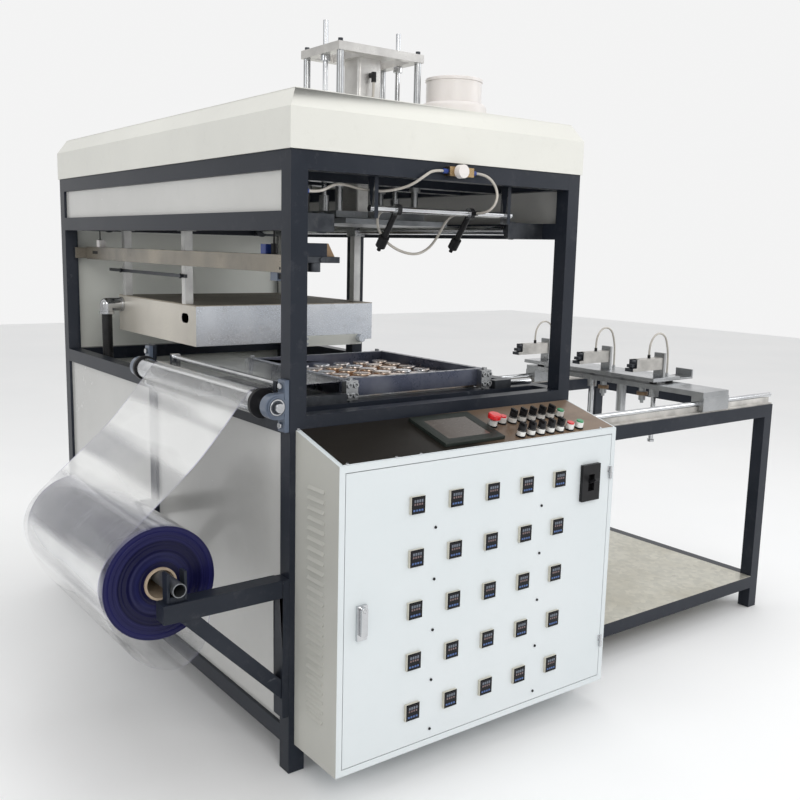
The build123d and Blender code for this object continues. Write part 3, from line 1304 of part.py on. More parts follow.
put("spray_bar", bar(air_fit_d, (x, spray_y - eye_d / 2 + 2, spray_z), (x, side_fit_y, spray_z))
    - bar(eye_d, (x - eye_w, spray_y, spray_z), (x + eye_w, spray_y, spray_z)))

manifold_y = (-manifold_t, 0)
put("air_manifold", block(manifold_x, manifold_y, manifold_z))
manifold_mid_y = -manifold_t / 2
manifold_mid_z = (manifold_z[0] + manifold_z[1]) / 2
fit_left = manifold_x[0] - air_fit_len
fit_right = manifold_x[1] + air_fit_len
put("air_manifold", bar(air_fit_d, (manifold_x[0], manifold_mid_y, manifold_mid_z), (fit_left, manifold_mid_y, manifold_mid_z)))
put("air_manifold", bar(air_fit_d, (manifold_x[1], manifold_mid_y, manifold_mid_z), (fit_right, manifold_mid_y, manifold_mid_z)))
gauge_x = manifold_x[0] + 34
put("air_manifold", bar(gauge_d, (gauge_x, -manifold_t, manifold_mid_z), (gauge_x, -manifold_t - gauge_t, manifold_mid_z)))
post_fit_x = tube + air_fit_len
put("air_manifold", bar(air_fit_d, (tube, post_fit_y, post_fit_z), (post_fit_x, post_fit_y, post_fit_z)))

# Vacuum tank, pump and motor on the floor rails, and the terminal box of the heater hose

rail_top_z = bottom_z + tube
tank_z = rail_top_z + saddle_h + tank_d / 2
tank_y = (floor_rail_y[0] + floor_rail_y[1] + tube) / 2
tank_xs = (tank_x - tank_len / 2, tank_x + tank_len / 2)
put("vacuum_unit", bar(tank_d, (tank_xs[0], tank_y, tank_z), (tank_xs[1], tank_y, tank_z)))
for x in (tank_xs[0] + tank_len / 5, tank_xs[1] - tank_len / 5):
    saddle = block((x - saddle_t / 2, x + saddle_t / 2), (floor_rail_y[0], floor_rail_y[1] + tube),
                   (rail_top_z, tank_z))
    saddle -= bar(tank_d, (x - saddle_t, tank_y, tank_z), (x + saddle_t, tank_y, tank_z))
    put("vacuum_unit", saddle)
pump_y = (floor_rail_y[0], floor_rail_y[0] + pump_len)
put("vacuum_unit", block((pump_x - pump_w / 2, pump_x + pump_w / 2), pump_y, (rail_top_z, rail_top_z + pump_h)))
motor_z = rail_top_z + motor_d / 2
put("vacuum_unit", bar(motor_d, (pump_x, pump_y[1], motor_z), (pump_x, pump_y[1] + motor_len, motor_z)))
pipe_end_z = tank_z
put("vacuum_unit", bar(vac_pipe, (pump_x + pump_w / 2, pump_y[0] + pump_len / 2, rail_top_z + pump_h * 0.7),
                       (tank_xs[0], pump_y[0] + pump_len / 2, rail_top_z + pump_h * 0.7)))

# Terminal box on the left bottom rail with the gland of the heater hose

term_x = heat_x[0] - elbow_out
term_zs = (bottom_z + tube, bottom_z + tube + term_h)
put("vacuum_unit", block((0, term_x + term_side / 2), (term_y - term_side / 2, term_y + term_side / 2), term_zs)
    - block((0, panel_inset + panel_t + 1), (term_y - term_side / 2, term_y + term_side / 2), term_zs))
gland_top = term_zs[1] + gland_h
put("vacuum_unit", hexagon(gland_d, (term_x, term_y, term_zs[1]), (term_x, term_y, gland_top)))

# Cords

hood_fit_top = hood_top + hood_fitting_h
hose_top = elbow_z - elbow_r
hose_back = elbow_y - term_y
hose_drop = hose_top - gland_top
hose_way = ((0, 0), (0, 0.24), (0.11, 0.42), (0.51, 0.59), (0.89, 0.73), (1, 0.84), (1, 1))
put("heater_hose", cord("heater_hose", hose_d, [
    (term_x, elbow_y - near * hose_back, hose_top - down * hose_drop) for near, down in hose_way]))

tubes = []
my, mz = manifold_mid_y, manifold_mid_z
tubes.append(cord("tube to post", air_d, [
    (fit_left, my, mz), (fit_left - 34, my, mz), (fit_left - 66, my - 2, mz - 18), (fit_left - 95, my + 18, mz - 44),
    (fit_left - 125, my + 56, mz - 58), (fit_left - 160, my + 88, mz - 63), (fit_left - 208, my + 105, mz - 58),
    (fit_left - 256, my + 100, mz - 50), (fit_left - 298, my + 82, mz - 50), (fit_left - 334, my + 60, mz - 58),
    (post_fit_x + 38, post_fit_y, post_fit_z), (post_fit_x, post_fit_y, post_fit_z)]))
sx, sy, sz = nozzle_x[1], side_fit_y, spray_z
tubes.append(cord("tube to spray bar", air_d, [
    (fit_right, my, mz), (fit_right + 28, my, mz), (fit_right + 54, my - 8, mz - 13), (fit_right + 67, my - 19, mz - 39),
    (fit_right + 65, my - 27, mz - 67), (fit_right + 56, my - 24, mz - 90), (fit_right + 47, my - 9, mz - 106),
    (sx, sy - 20, sz), (sx, sy, sz)]))
lx, rx, ly = nozzle_x[0], nozzle_x[1], back_fit_y
tubes.append(cord("tube between nozzles", air_d, [
    (lx, ly, sz), (lx, ly + 44, sz), (lx + 6, ly + 76, sz - 24), (lx + 26, ly + 86, sz - 70),
    (lx + 72, ly + 76, sz - 110), (lx + 136, ly + 60, sz - 128), (rx - 72, ly + 76, sz - 110),
    (rx - 26, ly + 86, sz - 70), (rx - 6, ly + 76, sz - 24), (rx, ly + 44, sz), (rx, ly, sz)]))
px, py, pz = press_x, port_y - port_out, port_z - port_down
tubes.append(cord("tube of the press cylinder", air_d, [
    (px, py, pz), (px, py, pz - 32), (px - hood_fit_x, py - hood_fit_y, hood_fit_top + 32),
    (px - hood_fit_x, py - hood_fit_y, hood_fit_top)]))
put("air_manifold", bar(air_fit_d, (px - hood_fit_x, py - hood_fit_y, hood_top),
                        (px - hood_fit_x, py - hood_fit_y, hood_fit_top)))
for name, y, way in (("near sensor cable", sensor_ys[0], -1), ("far sensor cable", sensor_ys[1], 1)):
    plug_z = sense_top + sensor_h
    end_z = plug_z + cable_rise
    end_x = tube + sensor_gland
    tubes.append(cord(name, cable_d, [
        (sensor_x, y, plug_z), (sensor_x, y, end_z - 25), (sensor_x, y + way * 9, end_z - 9),
        (sensor_x, y + way * 25, end_z), (sensor_x, y + way * 44, end_z), (sensor_x - 8, y + way * 59, end_z),
        (sensor_x - 23, y + way * 67, end_z), (end_x, y + way * 67, end_z)]))
    put("sensor_beam", bar(sensor_d, (tube, y + way * 67, end_z), (end_x, y + way * 67, end_z)))
put("air_tubes", tubes)

fit_x = (clamp_body_x + clamp_x) / 2
fit_z = clamp_z[1] + top_fit_h
end_x = clamp_x + 50
end_z = clamp_floor + top_fit_h
for y in clamp_ys:
    put("gripper_table", bar(top_fit_d, (end_x, y, clamp_floor), (end_x, y, end_z)))
    put("gripper_tubes", cord("clamp tube", air_d, [
        (fit_x, y, fit_z), (fit_x, y, fit_z + 30), (fit_x + 12, y, fit_z + 60), (fit_x + 36, y, fit_z + 81),
        (fit_x + 68, y, fit_z + 84), (fit_x + 97, y, fit_z + 68), (end_x - 12, y, fit_z + 40),
        (end_x - 3, y, fit_z + 8), (end_x, y, fit_z - 26), (end_x, y, end_z)]))

# Everything is centred over the origin, with the feet on the floor

plain = [s for name, solids in nodes.items() for s in solids if name not in ("heater_hose", "air_tubes", "gripper_tubes")]
boxes = [s.bounding_box() for s in plain]
low = [min(getattr(b.min, a) for b in boxes) for a in "XYZ"]
high = [max(getattr(b.max, a) for b in boxes) for a in "XYZ"]
centre = ((low[0] + high[0]) / 2, (low[1] + high[1]) / 2, low[2])
shift = Pos(-centre[0], -centre[1], -centre[2])
print("centre", centre, "low", low, "high", high)

for name, solids in nodes.items():
    export_step(shift * Compound(solids), "parts/%s.step" % name)
print(len(nodes), "nodes", sum(len(s) for s in nodes.values()), "solids")
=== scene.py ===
import math
import random

import bmesh
import bpy
from mathutils import Matrix, Vector


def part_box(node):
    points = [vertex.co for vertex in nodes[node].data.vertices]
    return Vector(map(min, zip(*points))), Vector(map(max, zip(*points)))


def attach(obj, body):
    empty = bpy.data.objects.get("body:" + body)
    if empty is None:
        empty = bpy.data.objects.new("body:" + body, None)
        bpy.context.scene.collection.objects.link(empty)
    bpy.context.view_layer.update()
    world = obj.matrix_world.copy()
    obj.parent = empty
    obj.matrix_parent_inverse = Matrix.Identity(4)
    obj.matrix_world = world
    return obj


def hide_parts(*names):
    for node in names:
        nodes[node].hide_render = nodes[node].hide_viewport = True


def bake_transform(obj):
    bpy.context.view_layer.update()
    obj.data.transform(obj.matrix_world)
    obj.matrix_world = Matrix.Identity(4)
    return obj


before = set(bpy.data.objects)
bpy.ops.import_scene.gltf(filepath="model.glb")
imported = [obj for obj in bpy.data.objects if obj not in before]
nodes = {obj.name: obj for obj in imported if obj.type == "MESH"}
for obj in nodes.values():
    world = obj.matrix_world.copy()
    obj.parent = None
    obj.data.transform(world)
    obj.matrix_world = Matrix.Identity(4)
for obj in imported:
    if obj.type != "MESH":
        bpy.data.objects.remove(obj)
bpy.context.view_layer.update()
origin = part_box("main_frame")[0]      # the drawing's zero point: the floor at the near left post
scene = bpy.context.scene


def at(x, y, z):                      # drawing millimetres to scene metres
    return origin + Vector((x, y, z)) / 1000


# Camera, light and floor

view = {"place": (-1226.03, -2104.04, 1466.91), "lens": 42.007, "sensor": 36, "near": 0.05, "far": 100,
        "right": (0.80040327, -0.59899658, 0.02361581), "up": (0.07795451, 0.14306477, 0.98663852)}
studio = {"worldColour": (1.0, 1.0, 1.0), "leftColour": (0.50, 0.49, 0.47), "fade": (-0.95, -0.15),
          "worldStrength": 0.90, "floorColour": (0.92, 0.92, 0.92), "floorShade": (0.84, 0.85, 0.86),
          "floorHalf": 14, "floorDrop": 0.001}
# Each lamp: its name, place and aim in the drawing, width in metres, watts and colour
lamps = [("keyLamp", (-1500, -4200, 3900), (500, 300, 900), 2.6, 70, (1.0, 0.98, 0.95)),
         ("sideLamp", (-4300, 200, 2600), (200, 800, 900), 2.4, 30, (0.95, 0.97, 1.0)),
         ("topLamp", (900, 900, 5200), (900, 900, 0), 3.4, 60, (1.0, 1.0, 1.0)),
         ("rightLamp", (4600, -2200, 2800), (1500, 400, 700), 2.2, 30, (0.96, 0.98, 1.0))]


def makeCamera():
    data = bpy.data.cameras.new("photoCamera")
    data.lens = view["lens"]
    data.sensor_width = view["sensor"]
    data.clip_start = view["near"]
    data.clip_end = view["far"]
    camera = bpy.data.objects.new("photoCamera", data)
    scene.collection.objects.link(camera)
    right = Vector(view["right"]).normalized()
    up = Vector(view["up"]).normalized()
    turned = Matrix((right, up, right.cross(up))).transposed().to_4x4()
    camera.matrix_world = Matrix.Translation(at(*view["place"])) @ turned
    scene.camera = camera


def makeStudio():
    world = bpy.data.worlds.new("studioWorld")
    world.use_nodes = True
    sky = world.node_tree.nodes["Background"]
    g = Graph(world.node_tree)
    way = g.node("ShaderNodeTexCoord", output="Generated")
    sideways = g.node("ShaderNodeSeparateXYZ", {}, {0: way}, "X")
    share = g.node("ShaderNodeMapRange", {}, {"Value": sideways, "From Min": studio["fade"][0],
                                              "From Max": studio["fade"][1]})
    g.feed(sky.inputs[0], g.node("ShaderNodeMix", {"data_type": "RGBA"},
                                 {0: share, 6: studio["leftColour"], 7: studio["worldColour"]}, 2))
    sky.inputs[1].default_value = studio["worldStrength"]
    scene.world = world
    for name, place, aim, size, power, colour in lamps:
        lamp = bpy.data.lights.new(name, "AREA")
        lamp.shape = "DISK"
        lamp.size = size
        lamp.energy = power
        lamp.color = colour
        holder = bpy.data.objects.new(name, lamp)
        scene.collection.objects.link(holder)
        holder.location = at(*place)
        holder.rotation_euler = (at(*aim) - at(*place)).to_track_quat("-Z", "Y").to_euler()
    scene.view_settings.view_transform = "Standard"


# Node trees: a value that can be added and multiplied, and one method that makes any node

class Value:
    def __init__(self, graph, socket):
        self.graph = graph
        self.socket = socket

    def join(self, operation, one, two):
        return self.graph.node("ShaderNodeMath", {"operation": operation}, {0: one, 1: two})

    def __add__(self, other):
        return self.join("ADD", self, other)

    def __radd__(self, other):
        return self.join("ADD", other, self)

    def __sub__(self, other):
        return self.join("SUBTRACT", self, other)

    def __rsub__(self, other):
        return self.join("SUBTRACT", other, self)

    def __mul__(self, other):
        return self.join("MULTIPLY", self, other)

    def __rmul__(self, other):
        return self.join("MULTIPLY", other, self)

    def __truediv__(self, other):
        return self.join("DIVIDE", self, other)


class Graph:
    def __init__(self, tree):
        self.tree = tree

    def feed(self, socket, value):
        if isinstance(value, Value):
            self.tree.links.new(value.socket, socket)
        elif isinstance(value, tuple) and len(value) == 3 and socket.type == "RGBA":
            socket.default_value = (*value, 1)
        else:
            socket.default_value = value

    def node(self, kind, settings=None, inputs=None, output=0):
        made = self.tree.nodes.new(kind)
        for key, value in (settings or {}).items():
            if key == "stops":
                ramp = made.color_ramp.elements
                while len(ramp) < len(value):
                    ramp.new(0.5)
                for stop, (where, colour) in zip(ramp, value):
                    stop.position = where
                    stop.color = (*colour, 1)
            else:
                setattr(made, key, value)
        for key, value in (inputs or {}).items():
            self.feed(made.inputs[key], value)
        return Value(self, made.outputs[output])


class Shader(Graph):
    def __init__(self, name):
        self.material = bpy.data.materials.new(name)
        self.material.use_nodes = True
        super().__init__(self.material.node_tree)
        self.base = self.tree.nodes["Principled BSDF"]
        self.place = self.node("ShaderNodeTexCoord", output="Object")

    def set(self, **fixed):
        for key, value in fixed.items():
            self.feed(self.base.inputs[key.replace("_", " ")], value)
        return self

    def axis(self, letter, centre=(0, 0, 0)):
        moved = self.node("ShaderNodeVectorMath", {"operation": "SUBTRACT"}, {0: self.place, 1: centre})
        return self.node("ShaderNodeSeparateXYZ", {}, {0: moved}, letter)

    def noise(self, scale, detail=4, stretch=None, rough=0.55):
        where = self.place
        if stretch:
            where = self.node("ShaderNodeMapping", {}, {"Vector": where, "Scale": stretch})
        return self.node("ShaderNodeTexNoise", {}, {"Vector": where, "Scale": scale, "Detail": detail,
                                                    "Roughness": rough})

    def reach(self, value, low, high, start=0.0, end=1.0):
        return self.node("ShaderNodeMapRange", {}, {"Value": value, "From Min": low, "From Max": high,
                                                    "To Min": start, "To Max": end})

    def mix(self, share, one, two):
        return self.node("ShaderNodeMix", {"data_type": "RGBA"}, {0: share, 6: one, 7: two}, 2)

    def bump(self, relief, depth):
        return self.node("ShaderNodeBump", {}, {"Height": relief, "Distance": depth, "Strength": 1.0})

    def distance(self, letter, centre):
        return self.node("ShaderNodeMath", {"operation": "ABSOLUTE"}, {0: self.axis(letter, centre)})


makeCamera()
makeStudio()


# A painted, moulded or metal surface: cloudy tone, fine grain, optional dust, brushing and scratches
def finish(name, colour, shade, rough, metal=0.0, cloud=4, grain=260, depth=0.00004, brush=None,
           dust=None, scratch=None, coat=0.0, fixed=None):
    s = Shader(name)
    clouds = s.noise(cloud, 5)
    fine = s.noise(grain, 3)
    tone = s.mix(s.reach(clouds, 0.35, 0.68), colour, shade)
    relief = fine
    uneven = (clouds - 0.5) * 0.22 + (fine - 0.5) * 0.1
    if brush:
        lines = s.noise(90, 3, brush)
        tone = s.mix(s.reach(lines, 0.35, 0.7, 0, 0.3), tone, shade)
        relief = lines
        uneven = uneven + (lines - 0.5) * 0.3
    if dust:
        specks = s.reach(s.noise(26, 8, rough=0.7), 0.56, 0.72, 0, dust[1])
        tone = s.mix(specks, tone, dust[0])
        uneven = uneven + specks * 0.3
    if scratch:
        marks = s.reach(s.noise(13, 6, (1, 9, 1.4), 0.65), 0.69, 0.73, 0, scratch[1])
        tone = s.mix(marks, tone, scratch[0])
    s.set(Base_Color=tone, Roughness=uneven + rough, Metallic=metal, Normal=s.bump(relief, depth))
    if coat:
        s.set(Coat_Weight=coat, Coat_Roughness=0.12)
    s.set(**(fixed or {}))
    return s.material


dull = {"Specular_IOR_Level": 0.22}    # dark paint and plastic that mirrors little of the studio
frameBlue = finish("frameBlue", (0.013, 0.017, 0.026), (0.022, 0.026, 0.036), 0.36, grain=420, depth=0.00006,
                   dust=((0.09, 0.09, 0.10), 0.25), scratch=((0.16, 0.17, 0.19), 0.3), fixed=dull)
hoodCream = finish("hoodCream", (0.74, 0.74, 0.69), (0.68, 0.68, 0.64), 0.42, cloud=1.6, grain=500,
                   dust=((0.52, 0.51, 0.46), 0.14))
panelGrey = finish("panelGrey", (0.57, 0.57, 0.555), (0.49, 0.49, 0.475), 0.24, cloud=1.3, grain=300, coat=0.3,
                   dust=((0.40, 0.40, 0.41), 0.14))
rearCream = finish("rearCream", (0.80, 0.81, 0.76), (0.70, 0.72, 0.67), 0.40, cloud=1.5, grain=300)
cabinetWhite = finish("cabinetWhite", (0.70, 0.74, 0.76), (0.66, 0.71, 0.73), 0.40, cloud=1.4, grain=620,
                      depth=0.00003, dust=((0.54, 0.56, 0.56), 0.08), coat=0.15)
# The cabinet's left side: the same white paint as cabinetWhite, painted darker and warmer as painted shade
cabinetShadedSide = finish("cabinetShadedSide", (0.50, 0.50, 0.46), (0.44, 0.44, 0.41), 0.38, cloud=1.4, grain=620,
                     depth=0.00003, dust=((0.38, 0.38, 0.35), 0.12))
aluminium = finish("aluminium", (0.50, 0.51, 0.52), (0.34, 0.35, 0.36), 0.30, metal=1.0, cloud=9,
                   brush=(1, 22, 22), scratch=((0.24, 0.25, 0.27), 0.45))
castAluminium = finish("castAluminium", (0.62, 0.60, 0.57), (0.40, 0.39, 0.37), 0.42, metal=0.9, cloud=14,
                       grain=180, depth=0.00012)
brightSteel = finish("brightSteel", (0.66, 0.67, 0.68), (0.46, 0.47, 0.49), 0.16, metal=1.0, cloud=12,
                     brush=(30, 1, 30))
darkSteel = finish("darkSteel", (0.030, 0.034, 0.042), (0.070, 0.076, 0.086), 0.38, metal=0.6, cloud=18,
                   dust=((0.17, 0.17, 0.17), 0.25))
bluedSteel = finish("bluedSteel", (0.075, 0.085, 0.125), (0.15, 0.16, 0.20), 0.30, metal=0.7, cloud=10,
                    dust=((0.20, 0.19, 0.20), 0.3))
greySteel = finish("greySteel", (0.20, 0.21, 0.22), (0.12, 0.13, 0.14), 0.38, metal=0.8, cloud=15,
                   dust=((0.26, 0.23, 0.20), 0.25), scratch=((0.42, 0.42, 0.44), 0.45))
beamSteel = finish("beamSteel", (0.36, 0.32, 0.26), (0.20, 0.19, 0.17), 0.32, metal=0.75, cloud=5,
                   brush=(1, 14, 14), dust=((0.16, 0.15, 0.14), 0.35))
heaterSteel = finish("heaterSteel", (0.82, 0.85, 0.90), (0.56, 0.60, 0.66), 0.24, metal=0.6, cloud=3,
                     brush=(2, 18, 14), dust=((0.44, 0.41, 0.36), 0.3))
plateSilver = finish("plateSilver", (0.66, 0.65, 0.63), (0.48, 0.47, 0.46), 0.34, metal=0.75, cloud=16,
                     brush=(1, 18, 18), scratch=((0.34, 0.33, 0.32), 0.5))
columnSteel = finish("columnSteel", (0.70, 0.70, 0.68), (0.50, 0.50, 0.50), 0.34, metal=0.5, cloud=12,
                     brush=(14, 14, 1))
heaterBeige = finish("heaterBeige", (0.74, 0.70, 0.62), (0.60, 0.57, 0.51), 0.34, metal=0.4, cloud=4,
                     brush=(14, 2, 18))
brass = finish("brass", (0.46, 0.33, 0.18), (0.34, 0.23, 0.12), 0.28, metal=1.0, cloud=30)
blackPlastic = finish("blackPlastic", (0.009, 0.009, 0.010), (0.016, 0.016, 0.018), 0.40, cloud=20, grain=900,
                      fixed=dull)
rubber = finish("rubber", (0.018, 0.018, 0.018), (0.035, 0.034, 0.033), 0.75, cloud=20, grain=500)
redPlastic = finish("redPlastic", (0.72, 0.015, 0.02), (0.60, 0.01, 0.015), 0.30, cloud=20, grain=900,
                    coat=0.4)
greenPlastic = finish("greenPlastic", (0.01, 0.30, 0.10), (0.01, 0.22, 0.08), 0.30, cloud=20, grain=900,
                      coat=0.4)
bluePlastic = finish("bluePlastic", (0.015, 0.05, 0.26), (0.012, 0.035, 0.18), 0.35, cloud=20, grain=900)
tubeWhite = finish("tubeWhite", (0.50, 0.47, 0.42), (0.38, 0.36, 0.33), 0.30, cloud=25, grain=500, coat=0.2)
tubeBlack = finish("tubeBlack", (0.010, 0.010, 0.011), (0.020, 0.020, 0.021), 0.34, cloud=25, grain=500,
                   fixed=dull)
cardboard = finish("cardboard", (0.52, 0.42, 0.31), (0.42, 0.33, 0.24), 0.80, cloud=30, grain=300,
                   depth=0.0002)
ceramic = finish("ceramic", (0.78, 0.76, 0.70), (0.68, 0.66, 0.60), 0.35, cloud=20)
whitePlastic = finish("whitePlastic", (0.78, 0.74, 0.72), (0.70, 0.68, 0.67), 0.38, cloud=5, grain=160,
                      fixed={"Subsurface_Weight": 0.25, "Subsurface_Radius": (0.02, 0.02, 0.018)})
sleeveWhite = finish("sleeveWhite", (0.82, 0.82, 0.80), (0.70, 0.70, 0.68), 0.22, metal=0.25, cloud=40)
nutBrown = finish("nutBrown", (0.28, 0.19, 0.11), (0.20, 0.13, 0.08), 0.5, metal=0.4, cloud=30, grain=300)
print("finishes made")


# Finishes with a pattern of their own

rollMiddle = (-317.5, 448, 588.3)


# The film's wound edges: rings of navy blue, darker towards the core
def rollEndFinish():
    s = Shader("rollEnd")
    x = s.axis("X", at(*rollMiddle))
    z = s.axis("Z", at(*rollMiddle))
    radius = s.node("ShaderNodeMath", {"operation": "SQRT"}, {0: x * x + z * z})
    flat = s.node("ShaderNodeCombineXYZ", {}, {"X": radius})
    rings = s.node("ShaderNodeTexNoise", {}, {"Vector": flat, "Scale": 95, "Detail": 6, "Roughness": 0.7})
    broad = s.node("ShaderNodeTexNoise", {}, {"Vector": flat, "Scale": 22, "Detail": 2})
    ridges = s.reach(rings, 0.3, 0.7)
    inside = s.mix(ridges, (0.002, 0.002, 0.012), (0.010, 0.010, 0.055))
    outside = s.mix(ridges, (0.003, 0.003, 0.022), (0.020, 0.020, 0.11))
    tone = s.mix(s.reach(radius, 0.10, 0.135), inside, outside)
    tone = s.mix(s.reach(broad, 0.56, 0.70, 0, 0.4), tone, (0.05, 0.055, 0.20))
    s.set(Base_Color=tone, Roughness=s.reach(rings, 0.2, 0.8, 0.12, 0.34), Normal=s.bump(rings, 0.0012),
          Specular_IOR_Level=0.18)
    return s.material


# Clear film in many layers: grey and white bands along the roll, which are painted reflections, and blue at its
# edges
def rollSideFinish():
    s = Shader("rollSide")
    edge = s.distance("Y", at(*rollMiddle))
    # Painted reflections: dark grey and white bands that run along the roll
    reflectionBands = s.noise(11, 2, (1, 0.03, 1), 0.4)
    layers = s.noise(26, 3, (0.1, 5, 0.1))
    tone = s.mix(s.reach(reflectionBands, 0.44, 0.56), (0.10, 0.10, 0.13), (0.66, 0.67, 0.72))
    tone = s.mix(s.reach(layers, 0.60, 0.74, 0, 0.35), tone, (0.78, 0.79, 0.84))
    tone = s.mix(s.reach(edge, 0.30, 0.332, 0, 0.85), tone, (0.06, 0.06, 0.17))
    s.set(Base_Color=tone, Metallic=0.35, Roughness=s.reach(reflectionBands, 0.3, 0.7, 0.04, 0.16),
          Normal=s.bump(reflectionBands, 0.004), Coat_Weight=0.8, Coat_Roughness=0.04)
    return s.material


# One layer of it: see-through, with whitish, cloudy stretches that are painted highlights where it mirrors the
# light
def filmFinish():
    s = Shader("clearFilm")
    broad = s.noise(8, 2, (1, 0.05, 1), 0.4)
    folds = s.noise(3, 2, (1, 0.5, 1))
    fine = s.noise(30, 4, (1, 0.35, 1))
    edge = s.distance("Y", at(*rollMiddle))
    # Painted highlights: where broad is high the film turns whitish and less clear
    tone = s.mix(s.reach(broad, 0.44, 0.57), (0.36, 0.37, 0.40), (0.97, 0.98, 0.98))
    tone = s.mix(s.reach(edge, 0.322, 0.330, 0, 0.7), tone, (0.30, 0.28, 0.55))
    s.set(Base_Color=tone, Roughness=s.reach(fine, 0.3, 0.7, 0.03, 0.12),
          Alpha=s.reach(broad + folds, 0.85, 1.2, 0.10, 0.55), Normal=s.bump(broad + folds, 0.014),
          Coat_Weight=1.0, Coat_Roughness=0.03)
    return s.material


def screenFinish():
    s = Shader("screenGlass")
    smear = s.noise(40, 5, (1, 2.5, 1))
    s.set(Base_Color=s.mix(s.reach(smear, 0.4, 0.7), (0.085, 0.070, 0.060), (0.11, 0.094, 0.082)),
          Roughness=s.reach(smear, 0.3, 0.7, 0.14, 0.30), Specular_IOR_Level=0.3)
    return s.material


def controlSheetFinish():
    s = Shader("controlSheet")
    x = s.axis("X", at(520, 0, 0))
    pores = s.noise(420, 4, (1, 1, 1), 0.7)
    clouds = s.noise(6, 6, (1, 3, 1))
    tone = s.mix(s.reach(clouds, 0.35, 0.68), (0.200, 0.135, 0.088), (0.145, 0.098, 0.066))
    tone = s.mix(s.reach(x, -0.05, 0.16), (0.012, 0.010, 0.008), tone)
    tone = s.mix(s.reach(pores, 0.62, 0.72, 0, 0.4), tone, (0.34, 0.26, 0.19))
    s.set(Base_Color=tone, Roughness=clouds * 0.2 + 0.22, Normal=s.bump(pores, 0.00006),
          Specular_IOR_Level=0.35)
    return s.material


def galvanisedFinish():
    s = Shader("galvanised")
    flakes = s.node("ShaderNodeTexVoronoi", {}, {"Vector": s.place, "Scale": 55}, "Color")
    grey = s.node("ShaderNodeRGBToBW", {}, {0: flakes})
    clouds = s.noise(3.5, 6)
    tone = s.mix(grey, (0.46, 0.45, 0.39), (0.66, 0.64, 0.56))
    tone = s.mix(s.reach(clouds, 0.45, 0.7, 0, 0.5), tone, (0.36, 0.33, 0.25))
    s.set(Base_Color=tone, Metallic=0.55, Roughness=grey * 0.2 + clouds * 0.2 + 0.18,
          Normal=s.bump(grey, 0.0001))
    return s.material


def mouldFinish():
    s = Shader("mouldMetal")
    clouds = s.noise(7, 4)
    rings = s.noise(130, 3)
    tone = s.mix(s.reach(clouds, 0.42, 0.66), (0.66, 0.67, 0.69), (0.62, 0.44, 0.30))
    s.set(Base_Color=tone, Metallic=1.0, Roughness=rings * 0.2 + 0.14, Normal=s.bump(rings, 0.0001))
    return s.material


rollEnd = rollEndFinish()
rollSide = rollSideFinish()
clearFilm = filmFinish()
screenGlass = screenFinish()
controlSheet = controlSheetFinish()
galvanised = galvanisedFinish()
mouldMetal = mouldFinish()
bearingPaint = finish("bearingPaint", (0.075, 0.10, 0.15), (0.11, 0.14, 0.19), 0.32, cloud=20, grain=140,
                      depth=0.0002, coat=0.3)
# Painted shade for the holes of the heater mesh
meshHoleShade = finish("meshHoleShade", (0.20, 0.18, 0.15), (0.13, 0.12, 0.10), 0.6, cloud=6)
meshBeige = finish("meshBeige", (0.46, 0.41, 0.33), (0.38, 0.34, 0.28), 0.5, cloud=5, metal=0.35)
instrumentBeige = finish("instrumentBeige", (0.60, 0.58, 0.50), (0.54, 0.52, 0.45), 0.5, cloud=30)
instrumentFace = finish("instrumentFace", (0.004, 0.004, 0.006), (0.008, 0.008, 0.010), 0.22, cloud=60,
                        fixed=dull)
housingGreen = finish("housingGreen", (0.014, 0.019, 0.016), (0.022, 0.028, 0.024), 0.42, cloud=12, grain=700,
                      fixed=dull)
displayGrey = finish("displayGrey", (0.016, 0.018, 0.024), (0.010, 0.011, 0.015), 0.18, cloud=60, fixed=dull)
digitRed = finish("digitRed", (0.20, 0.13, 0.13), (0.15, 0.10, 0.10), 0.4, cloud=80)
digitGrey = finish("digitGrey", (0.14, 0.16, 0.20), (0.10, 0.12, 0.15), 0.4, cloud=80)
keyBlue = finish("keyBlue", (0.07, 0.14, 0.34), (0.05, 0.10, 0.26), 0.4, cloud=80)
pumpGreen = finish("pumpGreen", (0.03, 0.12, 0.09), (0.05, 0.16, 0.12), 0.4, cloud=9, grain=200, depth=0.0001)
tankGrey = finish("tankGrey", (0.20, 0.22, 0.25), (0.15, 0.17, 0.20), 0.38, cloud=6, coat=0.2)
print("special finishes made")


# Meshes, drawn in the drawing's millimetres

def within(middle, place):            # a place is a test, or a range on each axis
    if callable(place):
        return place(middle)
    return all(low <= value <= high for value, (low, high) in zip(middle, place))


